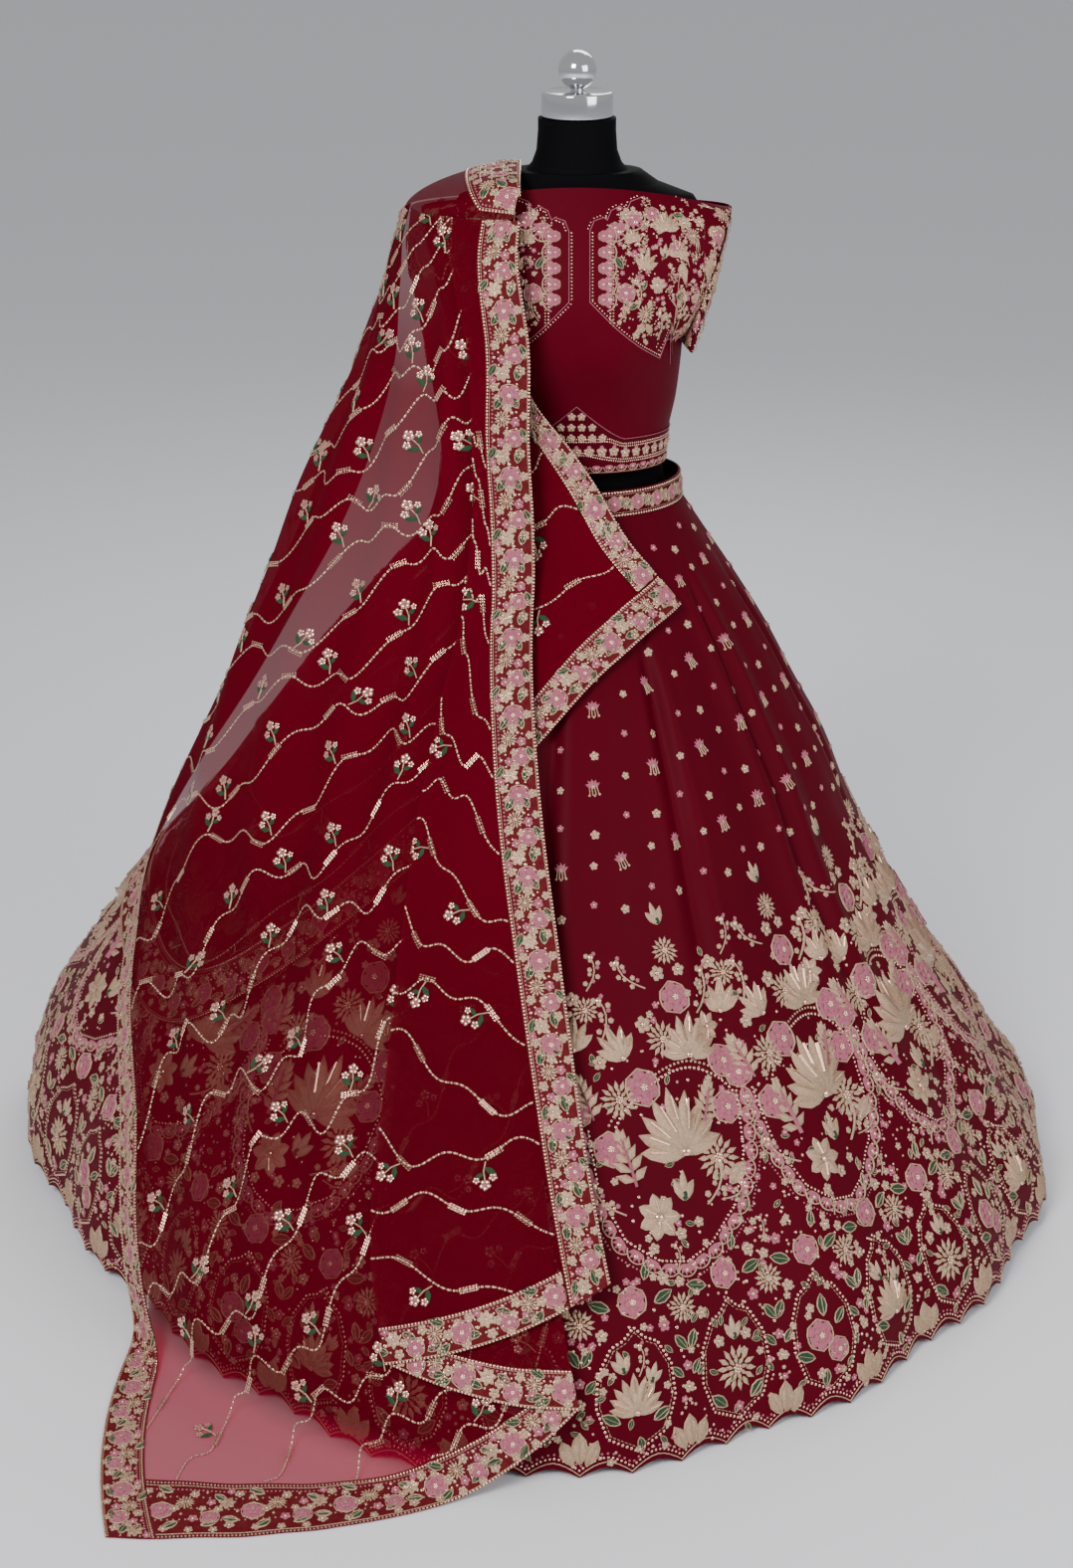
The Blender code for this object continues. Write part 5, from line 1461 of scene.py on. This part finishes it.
# Net pieces: name, surface, columns and rows that they cover, solid, flat size, and how they are held
stations = np.unique(np.concatenate((np.linspace(0.0, 1.0, 24), np.linspace(1.0, LAST_STATION, 110))))
dome_turns = np.linspace(*DOME_ANGLES, 61)
NETS = (
    ("net_sweep", sweep, spread(SWEEP_CELLS, 110), stations, "dupatta_front_sweep", (0.72, 1.62), "hung"),
    ("net_fold", fold_layer, np.linspace(0.0, 1.0, 31), stations, "dupatta_front_fold", (0.14, 1.55), "folded"),
    ("net_upper", upper, spread(UPPER_CELLS, 41), stations, "dupatta_front_upper", (0.20, 1.50), "hung"),
    ("net_shoulder", shoulder, dome_turns, spread(DOME_CELLS, 31), "dupatta_shoulder", (0.16, 0.23), "draped"),
    ("net_wrap", wrap, spread(WRAP_CELLS, 97), spread(WRAP_ROWS, 61), "dupatta_wrap", (0.60, 1.00), "draped"),
    ("net_back", back, spread(BACK_CELLS, 49), spread(BACK_ROWS, 81), "dupatta_back", (0.24, 1.00), "hung"),
)
nets = {}
for name, surface, columns, rows, node, size, held in NETS:
    net = sheet(name, grid(surface, columns, rows), 0.0, -0.5 * NET_WALL)
    keep(net, NET, "net", node)
    nets[name] = net

FINE_BAND = np.linspace(0.0, BAND_CELLS, 9)
END_ROWS = np.linspace(END_BAND_STATION, LAST_STATION, 9)
AFTER = BAND_CELLS + BAND_SEAM_CELL
# Border strips: name, net piece, surface, columns, rows, and where the outer edge lies
BORDERS = (
    ("left", "net_sweep", sweep, FINE_BAND, stations, "column"),
    ("floor", "net_sweep", sweep, np.linspace(AFTER, SWEEP_CELLS, 81), END_ROWS, "last_row"),
    ("fold", "net_fold", fold_layer, np.linspace(0.0, 1.0, 25), END_ROWS, "last_row"),
    ("front", "net_upper", upper, FINE_BAND, stations, "column"),
    ("front_end", "net_upper", upper, np.linspace(AFTER, UPPER_CELLS, 31), END_ROWS, "last_row"),
    ("shoulder", "net_shoulder", shoulder, dome_turns, FINE_BAND, "row"),
    ("wrap_hem", "net_wrap", wrap, np.linspace(0.0, WRAP_CELLS, 121), FINE_BAND, "row"),
    ("wrap_end", "net_wrap", wrap, FINE_BAND, np.linspace(AFTER, WRAP_ROWS, 81), "column"),
    ("back", "net_back", back, FINE_BAND, np.linspace(0.0, BACK_ROWS, 81), "column"),
    ("back_hem", "net_back", back, np.linspace(AFTER, BACK_CELLS, 41), FINE_BAND, "row"),
)
# One repeat of the border: motif, length along it, share across it from the outer edge, size and turn
BORDER_REPEAT = 0.105
BORDER_WORK = (
    (ROSE, 0.012, 0.46, 0.015, 0), (SUNBURST, 0.042, 0.6, 0.012, 0), (ROSE, 0.066, 0.34, 0.012, 0),
    (LILY, 0.09, 0.62, 0.012, 0), (LEAF, 0.028, 0.26, 0.022, 60), (LEAF, 0.03, 0.78, 0.022, 120),
    (LEAF, 0.053, 0.2, 0.02, 250), (LEAF, 0.078, 0.76, 0.02, 300), (LEAF, 0.098, 0.3, 0.021, 100),
    (BLOSSOM, 0.028, 0.5, 0.0072, 0), (BLOSSOM, 0.055, 0.76, 0.007, 0), (BLOSSOM, 0.078, 0.5, 0.0066, 0),
    (PINK_BLOSSOM, 0.046, 0.32, 0.007, 0), (BLOSSOM, 0.002, 0.8, 0.0068, 0),
    (PINK_BLOSSOM, 0.072, 0.62, 0.0064, 0), (BLOSSOM, 0.086, 0.22, 0.0072, 0),
    (BLOSSOM, 0.01, 0.16, 0.0066, 0), (PINK_BLOSSOM, 0.098, 0.84, 0.0058, 0),
    (BLOSSOM, 0.038, 0.13, 0.006, 0), (BLOSSOM, 0.066, 0.13, 0.006, 0), (BLOSSOM, 0.06, 0.5, 0.0055, 0),
    (BEAD, 0.034, 0.4, 0.0024, 0), (BEAD, 0.058, 0.42, 0.0024, 0), (BEAD, 0.1, 0.48, 0.0026, 0),
    (BEAD, 0.02, 0.68, 0.0022, 0), (BEAD, 0.07, 0.8, 0.0022, 0), (BLOSSOM, 0.016, 0.74, 0.0052, 0),
)
EDGE_LINES = ((PINK_KNOT, 0.83, 0.0052, 0.0016), (BEAD, 0.95, 0.0044, 0.0018), (CORD, 0.9, 0.0044, 0.0018),
              (CORD, 0.06, 0.0044, 0.002), (BEAD, 0.02, 0.0046, 0.0018))
for name, net, surface, columns, rows, outer in BORDERS:
    strip = sheet("border_" + name, grid(surface, columns, rows), 0.0004, 0.0004)
    keep(strip, BORDER_NET, "zari_border", "dupatta_border_" + name)
    strip.parent = nets[net]
    long_rows = outer == "column"
    low, high = (columns[0], columns[-1]) if long_rows else (rows[0], rows[-1])
    if outer == "last_row":
        low, high = high, low
    lengthwise = rows if long_rows else columns
    run = np.linspace(lengthwise[0], lengthwise[-1], 120)
    limits = (min(columns), max(columns), min(rows), max(rows))
    work = Sewing(surface, ((limits[1] - limits[0]) * 0.004, (limits[3] - limits[2]) * 0.004), limits, 0.0008)

    def across_band(share):
        """Path along the border at a share of its width from the outer edge."""
        fixed = np.full(len(run), mix(low, high, share))
        return np.stack((fixed, run) if long_rows else (run, fixed), -1)

    walked = length_along(surface(*across_band(0.5).T))
    repeats = max(int(round(walked[-1] / BORDER_REPEAT)), 1)
    stretch = walked[-1] / repeats / BORDER_REPEAT
    for what, where, share, size, turn in BORDER_WORK:
        starts = (np.arange(repeats) * BORDER_REPEAT + where) * stretch
        path = across_band(share)
        u, v = (np.interp(starts, walked, path[:, k]) for k in range(2))
        work.put(what, u, v, turn + (90.0 if long_rows else 0.0), size)
    for share in (0.30, 0.50, 0.70):
        work.line(BEAD, across_band(share), 0.0066 + 0.002 * share, 0.0016)
    for what, share, spacing, size in EDGE_LINES:
        work.line(what, across_band(share), spacing, size)
    for piece in work.finish("border_" + name, "zari_border"):
        piece.parent = nets[net]
        piece["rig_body"] = "root"


# Beaded vines of the dupatta: wavy stems of small beads with bars of cut beads, rising from the outer edge
# to the folds, and sprays of sequin flowers between them. They are sewn on the net one by one.
# Vines: part of the net, surface, cells across, stations or rows along, rise across and number
VINES = (("sweep", sweep, SWEEP_CELLS, LAST_STATION, 1.7, 22),
         ("upper", upper, UPPER_CELLS, LAST_STATION, 0.5, 17),
         ("wrap", wrap, WRAP_CELLS, WRAP_ROWS, 3.0, 8), ("back", back, BACK_CELLS, BACK_ROWS, 3.0, 8))
VINE_STEP = 0.42
WAVE_HEIGHT, WAVES = 0.11, 2.6
JAG_HEIGHT, JAGS = 0.045, 9.0
for word, surface, cells, long, rise, count in VINES:
    hanging = surface in (sweep, upper)
    low, high = (0.0, END_BAND_STATION) if hanging else (AFTER, long)
    work = Sewing(surface, (cells * 0.002, long * 0.002), (AFTER, cells, low, high), 0.0004)
    across = np.linspace(AFTER, cells, 97)
    share = (across - AFTER) / (cells - AFTER)
    for k in range(count):
        jag = JAG_HEIGHT * np.sin(2.0 * math.pi * share * JAGS * cells / SWEEP_CELLS + 1.9 * k)
        wave = WAVE_HEIGHT * np.sin(2.0 * math.pi * (share * WAVES * cells / SWEEP_CELLS + 0.35 * k)) + jag
        if hanging:
            row = long + 1.0 - k * VINE_STEP - rise * share ** 0.85 + wave
        else:
            row = (k + 0.6) * long / count + rise * 0.3 * (share - 0.5) + 1.8 * wave
        path = np.stack((across, row), -1)[(row > low) & (row < high)]
        if len(path) < 8:
            continue
        work.line(KNOT, path, 0.0040, 0.0014)
        work.line(BEAD, path, 0.0070, 0.0017)
        work.line(CUT_BEADS, path[k % 4:], 0.100, 0.0115, turn=3.0 * (k % 3))
        if surface is not upper or k % 2:
            work.line(POSY, path[2 + 3 * (k % 3):], 0.135, 0.036, aside=0.004, turn=20.0)
    for piece in work.finish("vines_" + word, "zari_border"):
        piece.parent = nets["net_" + word]
        piece["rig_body"] = "root"
